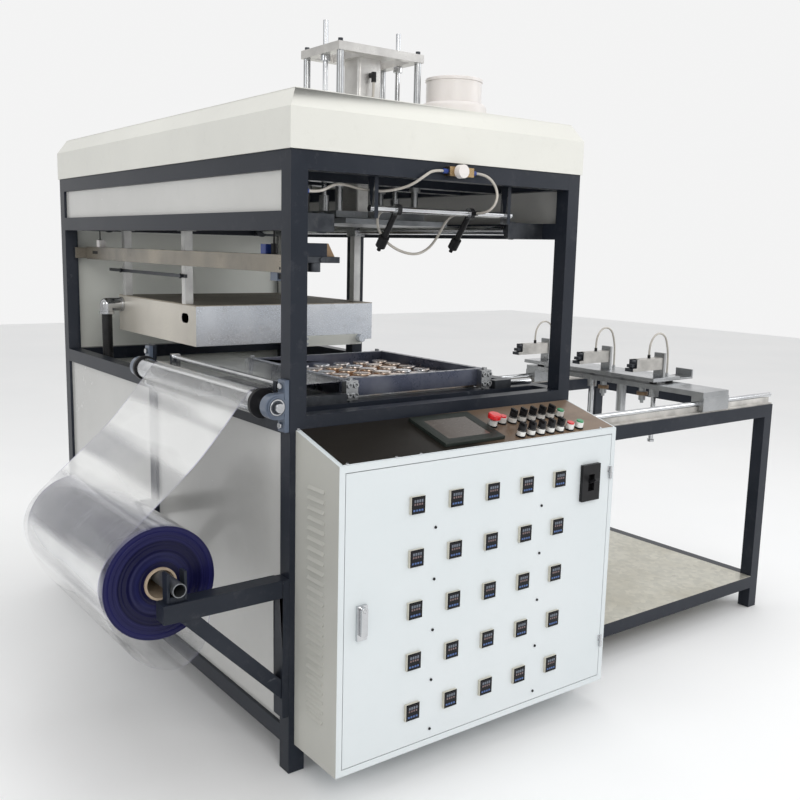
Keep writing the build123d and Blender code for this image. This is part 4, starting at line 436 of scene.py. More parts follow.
class Piece:
    def __init__(self, name):
        self.name = name
        self.mesh = bmesh.new()
        self.finishes = []

    def paint(self, faces, material):
        if material not in self.finishes:
            self.finishes.append(material)
        for face in faces:
            face.material_index = self.finishes.index(material)

    def block(self, material, x, y, z, place=at):
        corners = [self.mesh.verts.new(place(a, b, c)) for c in z for b in y for a in x]
        sides = [(0, 2, 3, 1), (4, 5, 7, 6), (0, 1, 5, 4), (2, 6, 7, 3), (0, 4, 6, 2), (1, 3, 7, 5)]
        self.paint([self.mesh.faces.new([corners[i] for i in side]) for side in sides], material)

    def turn(self, material, start, way, profile, sides=32, closed=True):
        way = Vector(way).normalized()
        across = way.orthogonal().normalized()
        other = way.cross(across)
        base = at(*start)
        looped = profile[0] == profile[-1]
        rings = []
        for along, radius in profile[:-1] if looped else profile:
            ring = []
            for i in range(sides):
                turned = 2 * math.pi * i / sides
                out = across * math.cos(turned) + other * math.sin(turned)
                ring.append(self.mesh.verts.new(base + (way * along + out * radius) / 1000))
            rings.append(ring)
        if looped:
            rings.append(rings[0])
        faces = []
        for one, two in zip(rings, rings[1:]):
            for i in range(sides):
                j = (i + 1) % sides
                faces.append(self.mesh.faces.new((one[i], one[j], two[j], two[i])))
        if closed:
            faces.append(self.mesh.faces.new(list(reversed(rings[0]))))
            faces.append(self.mesh.faces.new(rings[-1]))
        self.paint(faces, material)

    def rod(self, material, diameter, start, end, sides=24, edge=0.4):
        line = Vector(end) - Vector(start)
        r = diameter / 2
        edge = min(edge, r / 3, line.length / 4)
        profile = [(0, r - edge), (edge, r), (line.length - edge, r), (line.length, r - edge)]
        self.turn(material, start, line, profile, sides)

    # A copy of a CAD node's mesh, merged, in one finish or in several: each rule is a place and its finish
    def take(self, node, material, rules=()):
        part = bmesh.new()
        part.from_mesh(nodes[node].data)
        bmesh.ops.remove_doubles(part, verts=part.verts, dist=0.00001)
        bmesh.ops.dissolve_limit(part, angle_limit=math.radians(0.5), verts=part.verts, edges=part.edges)
        for face in part.faces:
            middle = (face.calc_center_median() - origin) * 1000
            others = [other for place, other in rules if within(middle, place)]
            self.paint([face], others[0] if others else material)
        held = bpy.data.meshes.new("held")
        part.to_mesh(held)
        part.free()
        self.mesh.from_mesh(held)
        bpy.data.meshes.remove(held)

    def done(self, body, *replaced, edge=0.0, smooth=38):
        data = bpy.data.meshes.new(self.name)
        self.mesh.to_mesh(data)
        self.mesh.free()
        for material in self.finishes:
            data.materials.append(material)
        made = bpy.data.objects.new(self.name, data)
        scene.collection.objects.link(made)
        data.shade_smooth()
        data.set_sharp_from_angle(angle=math.radians(smooth))
        if edge:
            bevel = made.modifiers.new("edges", "BEVEL")
            bevel.width = edge
            bevel.segments = 2
            bevel.limit_method = "ANGLE"
            bevel.angle_limit = math.radians(smooth)
            bevel.harden_normals = True
        if body:
            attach(made, body)
        if replaced:
            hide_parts(*replaced)
        return made


anywhere = (-9999, 9999)


def above(z):
    return (anywhere, anywhere, (z, 9999))


def below(z):
    return (anywhere, anywhere, (-9999, z))


def leftOf(x):
    return ((-9999, x), anywhere, anywhere)


control = {"front": -213, "low": 925, "depth": 213, "rise": 57}     # the sloping control sheet
lean = math.atan2(control["rise"], control["depth"])


def onSlope(x, s, h):                 # a place s up the slope and h off it
    return (x, control["front"] + s * math.cos(lean) - h * math.sin(lean),
            control["low"] + s * math.sin(lean) + h * math.cos(lean))


def overSheet(middle):                # how far a point stands off the slope
    return (middle.z - control["low"]) * math.cos(lean) - (middle.y - control["front"]) * math.sin(lean)


# Geometry Nodes: copies of small shapes on a grid, or at the points of a mesh

def repeat(name, layers, body, grid=None, spots=None, turn=(0, 0, 0)):
    carrier = bpy.data.meshes.new(name)
    if spots:
        carrier.from_pydata([tuple(p) for p in spots], [], [])
    made = bpy.data.objects.new(name, carrier)
    scene.collection.objects.link(made)
    tree = bpy.data.node_groups.new(name + "Copies", "GeometryNodeTree")
    tree.interface.new_socket("Geometry", in_out="OUTPUT", socket_type="NodeSocketGeometry")
    tree.interface.new_socket("Points", in_out="INPUT", socket_type="NodeSocketGeometry")
    wanted = [("Turn", "NodeSocketVector", turn)]
    if grid:
        wanted += [("Across", "NodeSocketInt", grid["across"][0]), ("Along", "NodeSocketInt", grid["along"][0]),
                   ("Pitch Across", "NodeSocketFloat", grid["across"][1]),
                   ("Pitch Along", "NodeSocketFloat", grid["along"][1]),
                   ("Middle", "NodeSocketVector", tuple(grid["middle"])),
                   ("Lean", "NodeSocketVector", grid.get("lean", (0, 0, 0)))]
    sockets = {label: tree.interface.new_socket(label, in_out="INPUT", socket_type=kind)
               for label, kind, value in wanted}
    g = Graph(tree)
    given = tree.nodes.new("NodeGroupInput")
    taken = {label: Value(g, given.outputs[label]) for label in sockets}
    points = Value(g, given.outputs["Points"])
    if grid:
        net = g.node("GeometryNodeMeshGrid", {}, {
            "Size X": taken["Pitch Across"] * (taken["Across"] - 1),
            "Size Y": taken["Pitch Along"] * (taken["Along"] - 1),
            "Vertices X": taken["Across"], "Vertices Y": taken["Along"]})
        points = g.node("GeometryNodeTransform", {}, {"Geometry": net, "Translation": taken["Middle"],
                                                      "Rotation": taken["Lean"]})
    parts = []
    for stamp, material in layers:
        shape = g.node("GeometryNodeObjectInfo", {"transform_space": "ORIGINAL"}, {"Object": stamp}, "Geometry")
        copies = g.node("GeometryNodeInstanceOnPoints", {}, {"Points": points, "Instance": shape,
                                                             "Rotation": taken["Turn"]})
        solid = g.node("GeometryNodeRealizeInstances", {}, {0: copies})
        parts.append(g.node("GeometryNodeSetMaterial", {}, {"Geometry": solid, "Material": material}))
    joined = tree.nodes.new("GeometryNodeJoinGeometry")
    for part in parts:
        tree.links.new(part.socket, joined.inputs[0])
    result = tree.nodes.new("NodeGroupOutput")
    tree.links.new(joined.outputs[0], result.inputs[0])
    modifier = made.modifiers.new("copies", "NODES")
    modifier.node_group = tree
    for label, kind, value in wanted:
        modifier[sockets[label].identifier] = value
    plain = bpy.data.meshes.new_from_object(made.evaluated_get(bpy.context.evaluated_depsgraph_get()))
    made.modifiers.clear()
    made.data = plain
    bpy.data.node_groups.remove(tree)
    for stamp, material in layers:
        if stamp.name in scene.collection.objects:
            scene.collection.objects.unlink(stamp)
    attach(made, body)


# A small shape for copying, moved so that the drawing's zero point is its own
def stampDone(piece):
    made = piece.done(None)
    made.data.transform(Matrix.Translation(-origin))
    return made


# Cords: each follows one smooth line through the drawing's points

def smoothLine(name, points, diameter=0.0):
    curve = bpy.data.curves.new(name, "CURVE")
    curve.dimensions = "3D"
    curve.resolution_u = 10
    curve.bevel_depth = diameter / 2000
    curve.bevel_resolution = 4
    curve.use_fill_caps = bool(diameter)
    line = curve.splines.new("NURBS")
    line.points.add(len(points) - 1)
    for spot, point in zip(line.points, points):
        spot.co = (*at(*point), 1)
    line.order_u = 3
    line.use_endpoint_u = True
    made = bpy.data.objects.new(name, curve)
    scene.collection.objects.link(made)
    return made


def linePoints(points):
    bare = smoothLine("bareLine", points)
    mesh = bpy.data.meshes.new_from_object(bare)
    found = [v.co.copy() for v in mesh.vertices]
    bpy.data.objects.remove(bare)
    return found


hose = {"diameter": 42, "length": 1.071, "x": 90, "topY": 1612, "topZ": 1176, "lowY": 1240, "lowZ": 230,
        "way": ((0, 0), (0, 0.24), (0.11, 0.42), (0.51, 0.59), (0.89, 0.73), (1, 0.84), (1, 1)),
        "ribPitch": 7.5, "ribDepth": 1.1, "rib": (0, 0.5, 1, 0.5), "sides": 28,
        "bend": {"y": 1426, "fixed": 30}}


# The hose is a ribbed conduit: rings along its line, four to a rib, that swell and shrink
def makeHose():
    points = [(hose["x"], hose["topY"] - back * (hose["topY"] - hose["lowY"]),
               hose["topZ"] - down * (hose["topZ"] - hose["lowZ"])) for back, down in hose["way"]]
    line = linePoints(points)
    lengths = [0.0]
    for one, two in zip(line, line[1:]):
        lengths.append(lengths[-1] + (two - one).length)
    rib = hose["rib"]
    rings = int(lengths[-1] * 1000 / hose["ribPitch"]) * len(rib)
    mesh = bmesh.new()
    before = None
    side = Vector((1, 0, 0))
    for n in range(rings + 1):
        reach = lengths[-1] * n / rings
        k = max(i for i in range(len(lengths) - 1) if lengths[i] <= reach + 1e-9)
        share = (reach - lengths[k]) / (lengths[k + 1] - lengths[k])
        middle = line[k].lerp(line[k + 1], share)
        early, late = max(k - 1, 0), min(k + 2, len(line) - 1)
        way = (line[late] - line[early]).normalized()
        other = way.cross(side).normalized()
        depth = rib[n % len(rib)] * hose["ribDepth"]
        radius = (hose["diameter"] / 2 - depth) / 1000
        ring = [mesh.verts.new(middle + (side * math.cos(a) + other * math.sin(a)) * radius)
                for a in (2 * math.pi * i / hose["sides"] for i in range(hose["sides"]))]
        if before:
            for i in range(hose["sides"]):
                j = (i + 1) % hose["sides"]
                mesh.faces.new((before[i], before[j], ring[j], ring[i]))
        else:
            mesh.faces.new(ring)
        before = ring
    mesh.faces.new(before)
    bmesh.ops.recalc_face_normals(mesh, faces=mesh.faces)
    data = bpy.data.meshes.new("heaterHose")
    mesh.to_mesh(data)
    mesh.free()
    data.materials.append(tubeBlack)
    data.shade_smooth()
    made = bpy.data.objects.new("heaterHose", data)
    scene.collection.objects.link(made)
    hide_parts("heater_hose")
    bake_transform(made)


# Where the fittings are that the tubes and cables start and end in
fit = {"left": 484, "right": 606, "y": -12.5, "z": 1683, "post": (66, 25, 1606), "nozzles": (376, 649),
       "bar": 1572, "sideY": 23, "backY": 87, "port": (524, 392, 1976), "hood": (510, 380, 1876)}
sensor = {"x": 98, "plug": 1470, "rise": 68, "gland": 56, "ends": ((262, -1), (1690, 1))}
clampTube = {"fitting": (1799, 1068), "plate": (1920, 989), "ys": (262, 540, 900)}


# Each tube: its name, diameter, length, stiffness, finish, body and the points of its route
def tubeRoutes():
    my, mz, sz = fit["y"], fit["z"], fit["bar"]
    lx, rx, sy, ly = *fit["nozzles"], fit["sideY"], fit["backY"]
    left, right = fit["left"], fit["right"]
    px, py, pz = fit["post"]
    ux, uy, uz = fit["port"]
    hx, hy, hz = fit["hood"]
    routes = [
        ("tubeToPost", 8, 0.488, "medium", tubeWhite, "machine", [
            (left, my, mz), (left - 34, my, mz), (left - 66, my - 2, mz - 18), (left - 95, my + 18, mz - 44),
            (left - 125, my + 56, mz - 58), (left - 160, my + 88, mz - 63), (left - 208, my + 105, mz - 58),
            (left - 256, my + 100, mz - 50), (left - 298, my + 82, mz - 50), (left - 334, my + 60, mz - 58),
            (px + 38, py, pz), (px, py, pz)]),
        ("tubeToSprayBar", 8, 0.208, "limp", tubeWhite, "machine", [
            (right, my, mz), (right + 28, my, mz), (right + 54, my - 8, mz - 13),
            (right + 67, my - 19, mz - 39), (right + 65, my - 27, mz - 67), (right + 56, my - 24, mz - 90),
            (right + 47, my - 9, mz - 106), (rx, sy - 20, sz), (rx, sy, sz)]),
        ("tubeBetweenNozzles", 8, 0.520, "medium", tubeWhite, "machine", [
            (lx, ly, sz), (lx, ly + 44, sz), (lx + 6, ly + 76, sz - 24), (lx + 26, ly + 86, sz - 70),
            (lx + 72, ly + 76, sz - 110), (lx + 136, ly + 60, sz - 128), (rx - 72, ly + 76, sz - 110),
            (rx - 26, ly + 86, sz - 70), (rx - 6, ly + 76, sz - 24), (rx, ly + 44, sz), (rx, ly, sz)]),
        ("tubeOfPressCylinder", 8, 0.103, "medium", tubeWhite, "machine", [
            fit["port"], (ux, uy, uz - 32), (hx, hy, hz + 32), fit["hood"]])]
    sx, plug, gland = sensor["x"], sensor["plug"], sensor["gland"]
    end = plug + sensor["rise"]
    for name, (y, way) in zip(("nearSensorCable", "farSensorCable"), sensor["ends"]):
        routes.append((name, 5, 0.150, "medium", tubeBlack, "machine", [
            (sx, y, plug), (sx, y, end - 25), (sx, y + way * 9, end - 9), (sx, y + way * 25, end),
            (sx, y + way * 44, end), (sx - 8, y + way * 59, end), (sx - 23, y + way * 67, end),
            (gland, y + way * 67, end)]))
    (fx, fz), (ex, ez) = clampTube["fitting"], clampTube["plate"]
    for number, y in enumerate(clampTube["ys"], 1):
        routes.append(("clampTube%d" % number, 8, 0.306, "medium", tubeWhite, "gripper", [
            (fx, y, fz), (fx, y, fz + 30), (fx + 12, y, fz + 60), (fx + 36, y, fz + 81), (fx + 68, y, fz + 84),
            (fx + 97, y, fz + 68), (ex - 12, y, fz + 40), (ex - 3, y, fz + 8), (ex, y, fz - 26), (ex, y, ez)]))
    return routes


# The first tube on each body stands for the CAD node of them all
def makeTubes():
    standsFor = {"machine": "air_tubes", "gripper": "gripper_tubes"}
    for name, diameter, length, stiffness, material, body, points in tubeRoutes():
        tube = smoothLine(name, points, diameter)
        tube.data.materials.append(material)
        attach(tube, body)
        if body in standsFor:
            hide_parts(standsFor.pop(body))
        diameter / 1000


makeHose()
makeTubes()
print("cords made")


# Pieces that keep their node's shape: each has a finish of its own, and others in the places named beside it

def dressed(name, body, node, material, rules=(), edge=0.0008, smooth=38):
    piece = Piece(name)
    piece.take(node, material, rules)
    return piece.done(body, node, edge=edge, smooth=smooth)


def shared(material, places):         # one finish for several places
    return [(place, material) for place in places]


# Frame, panels, hood, cabinet shell and table

cabinet = {"hinges": ((1030, 1060), (-240, -213.1), anywhere), "leftSide": ((0, 18.2), anywhere, anywhere)}
railSupportTop = 894.5

dressed("frameTubes", "machine", "main_frame", frameBlue, edge=0.0022)
dressed("tableTubes", "machine", "table_frame", frameBlue, edge=0.0022)
dressed("sidePanels", "machine", "frame_panels", panelGrey, edge=0.0005)
dressed("rearPanels", "machine", "rear_panel", rearCream, edge=0.0005)
dressed("hood", "machine", "top_hood", hoodCream, edge=0.0009)
# The cabinet's left side takes the painted-shade copy of its white paint
dressed("cabinetShell", "machine", "cabinet_shell", cabinetWhite,
        [(cabinet["hinges"], brightSteel), (cabinet["leftSide"], cabinetShadedSide)], edge=0.0007)
dressed("shelfSheet", "machine", "table_shelf", galvanised, edge=0.0006)
dressed("pullerRails", "machine", "carriage_rails", castAluminium, [(above(railSupportTop), brightSteel)],
        edge=0.0006)


# Roll stand, pipe, bearings, guide roller and film bar

bearingBolts = {"x": (-26, -13.9), "heights": ((980, 1007), (1087, 1115))}
rollerDiscs = ((77.9, 92.1), (893.9, 908.1))
filmBracketTop = 1082.7

dressed("rollStand", "machine", "roll_stand", frameBlue, edge=0.0015)
dressed("rollPipe", "machine", "roll_shaft", greySteel)
dressed("bearings", "machine", "pillow_blocks", bearingPaint,
        shared(brightSteel, [(bearingBolts["x"], anywhere, z) for z in bearingBolts["heights"]]), edge=0.0016)
dressed("guideRoller", "roller", "guide_roller", brightSteel,
        shared(blackPlastic, [(anywhere, y, anywhere) for y in rollerDiscs]), edge=0.0008)
dressed("filmBar", "machine", "film_bar", brightSteel, [(below(filmBracketTop), frameBlue)], edge=0.0012)


# Sloping sheet with the screen's housing, breaker toggle, lock, door and what is set in it

slope = {"housing": (372, 594), "top": 3.1, "underside": 2.9}
door = {"lockPlate": ((70, 110), (-260, -213.2), anywhere), "screws": ((320, 745), (-218, -213.2), anywhere),
        "hinges": ((1020, 1034), (-240, -213.2), anywhere)}
doorParts = {"breaker": ((897, 982), anywhere, anywhere), "fronts": (anywhere, (-9999, -220.5), anywhere)}


def isHousing(middle):
    return slope["housing"][0] < middle.x < slope["housing"][1] and overSheet(middle) > slope["top"]


def isUnderside(middle):
    return overSheet(middle) < slope["underside"]


dressed("controlsTop", "machine", "control_panel", controlSheet,
        [(isHousing, housingGreen), (isUnderside, cabinetWhite)], edge=0.0009)
dressed("breakerToggle", "breaker", "breaker_toggle", blackPlastic, edge=0.0007)
dressed("lockLever", "lock", "lock_handle", brightSteel, edge=0.0012)
dressed("doorSheet", "door", "cabinet_door", cabinetWhite,
        [(door["lockPlate"], brightSteel), (door["screws"], blackPlastic), (door["hinges"], brightSteel)],
        edge=0.0007)
dressed("instruments", "door", "door_instruments", instrumentBeige,
        [(doorParts["breaker"], blackPlastic), (doorParts["fronts"], instrumentFace)], edge=0.0007)


# Forming frame with its corner blocks, bed and mould

cornerBlocks = {"xs": ((260, 310), (790, 840)), "ys": ((120, 158.2), (737.8, 770))}
bed = {"shaft": ((900, 1012), anywhere, (1019, 1046)), "arms": (anywhere, anywhere, (1018.5, 1046)),
       "lowerPart": 960}

dressed("formingFrame", "machine", "forming_frame", bluedSteel,
        shared(aluminium, [(x, y, anywhere) for x in cornerBlocks["xs"] for y in cornerBlocks["ys"]]),
        edge=0.001)
dressed("formingBed", "machine", "forming_bed", frameBlue,
        [(bed["shaft"], brightSteel), (bed["arms"], darkSteel), (below(bed["lowerPart"]), greySteel)],
        edge=0.001)
dressed("mouldTable", "mould", "mould_table", greySteel, edge=0.001)
dressed("mould", "mould", "mould_plate", mouldMetal, edge=0.0008)


# Heater: slide bars, sensor beam, box, elements and trolley

barEnds = ((105, 119), (1791, 1805), (119, 133), (1777, 1791))
senseTop = 1440.1
sense = {"stub": ((49, 111), (-1, 51), (1438.1, 1474)), "sideSheet": ((110, 151), (10, 40), (1438, 1474)),
         "stopPlate": (anywhere, (-9, 101), (1380, 1438.2)),
         "farBracket": (anywhere, (1794.2, 1821), (1380, 1440)),
         "nearSensor": ((70, 110), (275, 307), (senseTop, 1480)),
         "farSensor": ((70, 110), (1645, 1677), (senseTop, 1480))}
box = {"top": 1247.9, "leftWall": ((154, 155.2), anywhere, anywhere),
       "seam": ((585, 855), (905, 912.9), (1085, 1135))}
reflector = 1153.9
trolley = {"elbow": ((55, 156), (1570, 1650), (1170, 1245)),
           "bearingBlocks": (anywhere, anywhere, (1505.9, 1553)),
           "tieBar": ((138, 155), anywhere, (1340, 1360))}

dressed("slideBars", "machine", "heater_rails", brightSteel,
        shared(darkSteel, [(anywhere, y, anywhere) for y in barEnds]), edge=0.001)
dressed("sensorBeam", "machine", "sensor_beam", beamSteel,
        [(sense["stub"], frameBlue), (sense["sideSheet"], nutBrown), (sense["stopPlate"], darkSteel),
         (sense["farBracket"], darkSteel), (sense["nearSensor"], bluePlastic),
         (sense["farSensor"], whitePlastic), (above(senseTop), blackPlastic)], edge=0.001)
dressed("heaterBox", "heater", "heater_box", heaterSteel,
        [(above(box["top"]), meshBeige), (box["leftWall"], heaterBeige), (box["seam"], rearCream)], edge=0.0006)
dressed("heaterElements", "heater", "heater_elements", ceramic, [(above(reflector), aluminium)], edge=0.001)
dressed("trolley", "heater", "heater_trolley", columnSteel,
        [(trolley["elbow"], brightSteel), (trolley["bearingBlocks"], aluminium),
         (trolley["tieBar"], darkSteel)], edge=0.0012)


# Press unit

press = {"crossBeams": [(anywhere, y, (1661.9, 1712.1)) for y in ((333, 385), (525, 577))],
         "basePlate": (anywhere, anywhere, (1553.8, 1574.1)), "heads": 2072.1,
         "topPlate": (anywhere, anywhere, (2046.9, 2072.1)), "fitting": ((500, 548), (380, 409.9), anywhere),
         "platen": 1551}

dressed("pressStand", "machine", "press_stand", aluminium,
        shared(frameBlue, press["crossBeams"]) + [
            (press["basePlate"], greySteel), (above(press["heads"]), darkSteel),
            (press["topPlate"], plateSilver)], edge=0.0009)
dressed("pressCylinder", "machine", "press_cylinder", plateSilver, [(press["fitting"], blackPlastic)],
        edge=0.0009)
dressed("pressMoving", "press", "plug_platen", brightSteel, [(below(press["platen"]), greySteel)],
        edge=0.0009)


# Spray bar, manifold and vacuum unit

spray = {"rod": ((280, 830), (45.9, 64.1), (1562.9, 1581.1)),
         "straps": [(x, anywhere, anywhere) for x in ((286, 300), (786, 800))]}
air = {"regulator": (anywhere, (-50, -25.1), anywhere), "leftFittings": ((40, 499.9), anywhere, anywhere),
       "rightFitting": ((590.1, 640), (-30, 0), anywhere)}
vacuum = {"pump": ((130, 318), (1090, 1365), anywhere)}

dressed("sprayBar", "machine", "spray_bar", blackPlastic,
        [(spray["rod"], brightSteel)] + shared(frameBlue, spray["straps"]), edge=0.0007)
dressed("manifold", "machine", "air_manifold", brass,
        [(air["regulator"], whitePlastic), (air["leftFittings"], bluePlastic),
         (air["rightFitting"], bluePlastic)], edge=0.0008)
dressed("vacuumUnit", "machine", "vacuum_unit", tankGrey, [(vacuum["pump"], pumpGreen)], edge=0.0015)


# Puller: carriage with rubber bumpers, gripper table, clamps and jaws

puller = {"bumpers": ((1790, 1980), (200, 910), (950.1, 959.9)), "columns": 949, "clampTop": 1054.1,
          "clampNose": 1730}

dressed("pullerCarriage", "carriage", "puller_carriage", aluminium, [(puller["bumpers"], rubber)], edge=0.0009)
dressed("gripperTable", "gripper", "gripper_table", aluminium, [(below(puller["columns"]), brightSteel)],
        edge=0.0009)
dressed("clampBodies", "gripper", "clamp_bodies", castAluminium,
        [(above(puller["clampTop"]), blackPlastic), (leftOf(puller["clampNose"]), darkSteel)], edge=0.0009)
dressed("clampJaws", "jaws", "gripper_jaws", darkSteel, edge=0.0009)


# Barrel, screen and the controls on the sloping sheet

bezelHigh = 8.1
buttons = {"green_button_1": greenPlastic, "green_button_2": greenPlastic, "red_button_1": redPlastic,
           "red_button_2": redPlastic}


def isBezel(middle):
    return overSheet(middle) < bezelHigh


dressed("barrel", "machine", "water_barrel", whitePlastic, edge=0.0012)
dressed("screen", "machine", "touch_screen", screenGlass, edge=0.0002)
dressed("controlBodies", "machine", "control_bezels", sleeveWhite, [(isBezel, blackPlastic)], edge=0.0005)
for number in range(1, 11):
    dressed("selector%02d" % number, "selector_%02d_body" % number, "selector_%02d" % number, blackPlastic,
            edge=0.0006)
for node, material in buttons.items():
    dressed(node.replace("_", "") + "Cap", node + "_body", node, material, edge=0.0006)
dressed("stopMushroom", "stop", "emergency_stop", redPlastic, edge=0.0006)


# Film roll

roll = {"width": 660, "radius": 153, "core": (38, 44), "coreOver": 6, "coreSides": 64, "round": 1.5,
        "shy": 0.2, "off": 0.1, "ridges": 44, "ridgeDepth": 1.5, "step": (11, 5, 0.9), "sides": 110, "seed": 4}


# The roll's ends are ridged: its layers were not wound quite flush, and some stand back by a step
def makeRoll():
    draw = random.Random(roll["seed"])
    x, y, z = rollMiddle
    inner, outer = roll["core"]
    width, radius, over = roll["width"], roll["radius"], roll["coreOver"]
    every, which, back = roll["step"]
    lowest, highest = outer + roll["off"], radius - roll["shy"]
    near = []
    for n in range(roll["ridges"] + 1):
        r = lowest + (highest - lowest) * n / roll["ridges"]
        deep = draw.random() ** 2 * roll["ridgeDepth"] + (back if n % every == which else 0)
        near.append((deep, r))
    far = [(width - deep, r) for deep, r in reversed(near)]
    side = [near[-1], (roll["round"], radius), (width - roll["round"], radius), far[0]]
    piece = Piece("filmRoll")
    start = (x, y - width / 2, z)
    along = (0, 1, 0)
    piece.turn(rollEnd, start, along, near, roll["sides"], closed=False)
    piece.turn(rollSide, start, along, side, roll["sides"], closed=False)
    piece.turn(rollEnd, start, along, far + near[:1], roll["sides"], closed=False)
    end = width + 2 * over
    piece.turn(cardboard, (x, y - width / 2 - over, z), along,
               [(0, inner), (0, outer), (end, outer), (end, inner), (0, inner)], roll["coreSides"],
               closed=False)
    bmesh.ops.remove_doubles(piece.mesh, verts=piece.mesh.verts, dist=0.000001)
    bmesh.ops.recalc_face_normals(piece.mesh, faces=piece.mesh.faces)
    piece.done("roll", "film_roll", smooth=50)


makeRoll()


# Small repeated things, copied by Geometry Nodes

panel = {"across": 5, "pitchX": 135, "along": 5, "pitchZ": 147, "first": (264, -221, 793)}
# What shows on a controller's face, as blocks: each has ranges across, out of and up the face
faceParts = {
    "bezel": (instrumentFace, [((-21, 21), (-0.8, 0), (-21, 21))]),
    "display": (displayGrey, [((-17.5, 17.5), (-1.1, -0.7), (-1, 17))]),
    "digits": (digitGrey, [((-14 + 8 * n, -8.5 + 8 * n), (-1.4, -1.0), (8, 15.5)) for n in range(4)]),
    "setDigits": (digitRed, [((-14 + 8 * n, -9.5 + 8 * n), (-1.4, -1.0), (0.5, 5.5)) for n in range(4)]),
    "keys": (keyBlue, [((-17 + 9 * n, -11 + 9 * n), (-1.6, -0.7), (-16, -11)) for n in range(4)]),
    "edge": (instrumentBeige, [((-24, -22.4), (-0.3, 0), (-24, 24))])}


def makeFaces():
    layers = []
    for name, (material, blocks) in faceParts.items():
        stamp = Piece(name + "Stamp")
        for x, y, z in blocks:
            stamp.block(material, x, y, z)
        layers.append((stampDone(stamp), material))
    across, along = panel["across"], panel["along"]
    x, y, z = panel["first"]
    middle = at(x + panel["pitchX"] * (across - 1) / 2, y, z - panel["pitchZ"] * (along - 1) / 2)
    repeat("instrumentFaces", layers, "door", grid={
        "across": (across, panel["pitchX"] / 1000), "along": (along, panel["pitchZ"] / 1000), "middle": middle,
        "lean": (math.pi / 2, 0, 0)})


# A socket screw's head: its rim is cut off at a slant, and a six-sided socket lies in it
def screwStamp(name, head, high):
    up = (0, 0, 1)
    stamp = Piece(name)
    outline = [(0, head / 2), (high * 0.6, head / 2), (high, head / 2 - high * 0.3)]
    stamp.turn(greySteel, (0, 0, 0), up, outline, 12)
    stamp.turn(blackPlastic, (0, 0, high), up, [(0, head / 4), (high * 0.05, head / 4)], 6)
    return stampDone(stamp)


rim = {"x": (270, 830), "y": (158, 738), "top": 1082, "inset": 7, "pitch": 40, "head": 8, "high": 0.6}


# Small socket screws along the rim of the forming frame
def makeRimScrews():
    spots = []
    x0, x1 = rim["x"][0] + rim["inset"], rim["x"][1] - rim["inset"]
    y0, y1 = rim["y"][0] + rim["inset"], rim["y"][1] - rim["inset"]
    countX, countY = round((x1 - x0) / rim["pitch"]), round((y1 - y0) / rim["pitch"])
    for n in range(countX + 1):
        x = x0 + (x1 - x0) * n / countX
        spots += [at(x, y0, rim["top"]), at(x, y1, rim["top"])]
    for n in range(1, countY):
        y = y0 + (y1 - y0) * n / countY
        spots += [at(x0, y, rim["top"]), at(x1, y, rim["top"])]
    screw = screwStamp("rimScrewStamp", rim["head"], rim["high"])
    repeat("rimScrews", [(screw, greySteel)], "machine", spots=spots)


# Each ring: its outer and inner radius, how far it stands out, and its finish
bearing = {"middle": (-36.5, 3.5, 1047), "round": 0.4, "sides": 48, "rings": (
    (28, 24, 0.6, bearingPaint), (22, 18.5, 1.4, brightSteel), (17.5, 13.5, 0.8, darkSteel))}


# The near pillow block shows its bearing: rings round the shaft
def makeBearingRings():
    piece = Piece("bearingRings")
    small = bearing["round"]
    for outer, inner, out, material in bearing["rings"]:
        piece.turn(material, bearing["middle"], (0, -1, 0), [
            (0, inner), (0, outer), (out + 0.3, outer), (out + 0.5, outer - small),
            (out + 0.5, inner + small), (out + 0.3, inner), (0, inner)], bearing["sides"], closed=False)
    bmesh.ops.remove_doubles(piece.mesh, verts=piece.mesh.verts, dist=0.000001)
    bmesh.ops.recalc_face_normals(piece.mesh, faces=piece.mesh.faces)
    piece.done("machine")


nuts = {"x": 1880, "ys": (348, 557), "low": 888, "thick": 14, "outer": 23, "inner": 13.6, "sides": 48}


# Flange nuts round the two spindle sleeves under the puller's plate, with a groove round their middle
def makeFlangeNuts():
    piece = Piece("flangeNuts")
    r, inner, thick = nuts["outer"], nuts["inner"], nuts["thick"]
    for y in nuts["ys"]:
        piece.turn(nutBrown, (nuts["x"], y, nuts["low"]), (0, 0, 1), [
            (0, inner), (0, r - 1), (1, r), (thick * 0.45, r), (thick * 0.5, r - 0.8), (thick * 0.55, r),
            (thick - 1, r), (thick, r - 1), (thick, inner), (0, inner)], nuts["sides"], closed=False)
    bmesh.ops.recalc_face_normals(piece.mesh, faces=piece.mesh.faces)
    piece.done("carriage")


# Bright screws at the edge of the sloping sheet: X, and how far up the slope
sheetScrews = {"places": ((25, 221), (44, 6), (198, 6), (278, 6), (985, 6)), "head": 9, "high": 2, "over": 3}


def makeSheetScrews():
    spots = [at(*onSlope(x, s, sheetScrews["over"])) for x, s in sheetScrews["places"]]
    screw = screwStamp("sheetScrewStamp", sheetScrews["head"], sheetScrews["high"])
    repeat("sheetScrews", [(screw, brightSteel)], "machine", spots=spots, turn=(lean, 0, 0))


heaterTop = {"x": (163, 893), "y": (921, 1640), "z": 1250.9, "pitch": 15, "wire": 2.2, "thick": 0.4}


# The open mesh over the heater box is a sheet with dark squares for its holes: their dark is painted shade
def makeMesh():
    stamp = Piece("meshHole")
    pitch = heaterTop["pitch"]
    half = (pitch - heaterTop["wire"]) / 2
    stamp.block(meshHoleShade, (-half, half), (-half, half), (0, heaterTop["thick"]))
    across, along = (int((high - low) / pitch) for low, high in (heaterTop["x"], heaterTop["y"]))
    middle = at(sum(heaterTop["x"]) / 2, sum(heaterTop["y"]) / 2, heaterTop["z"])
    repeat("heaterMesh", [(stampDone(stamp), meshHoleShade)], "heater", grid={
        "across": (across, pitch / 1000), "along": (along, pitch / 1000), "middle": middle})


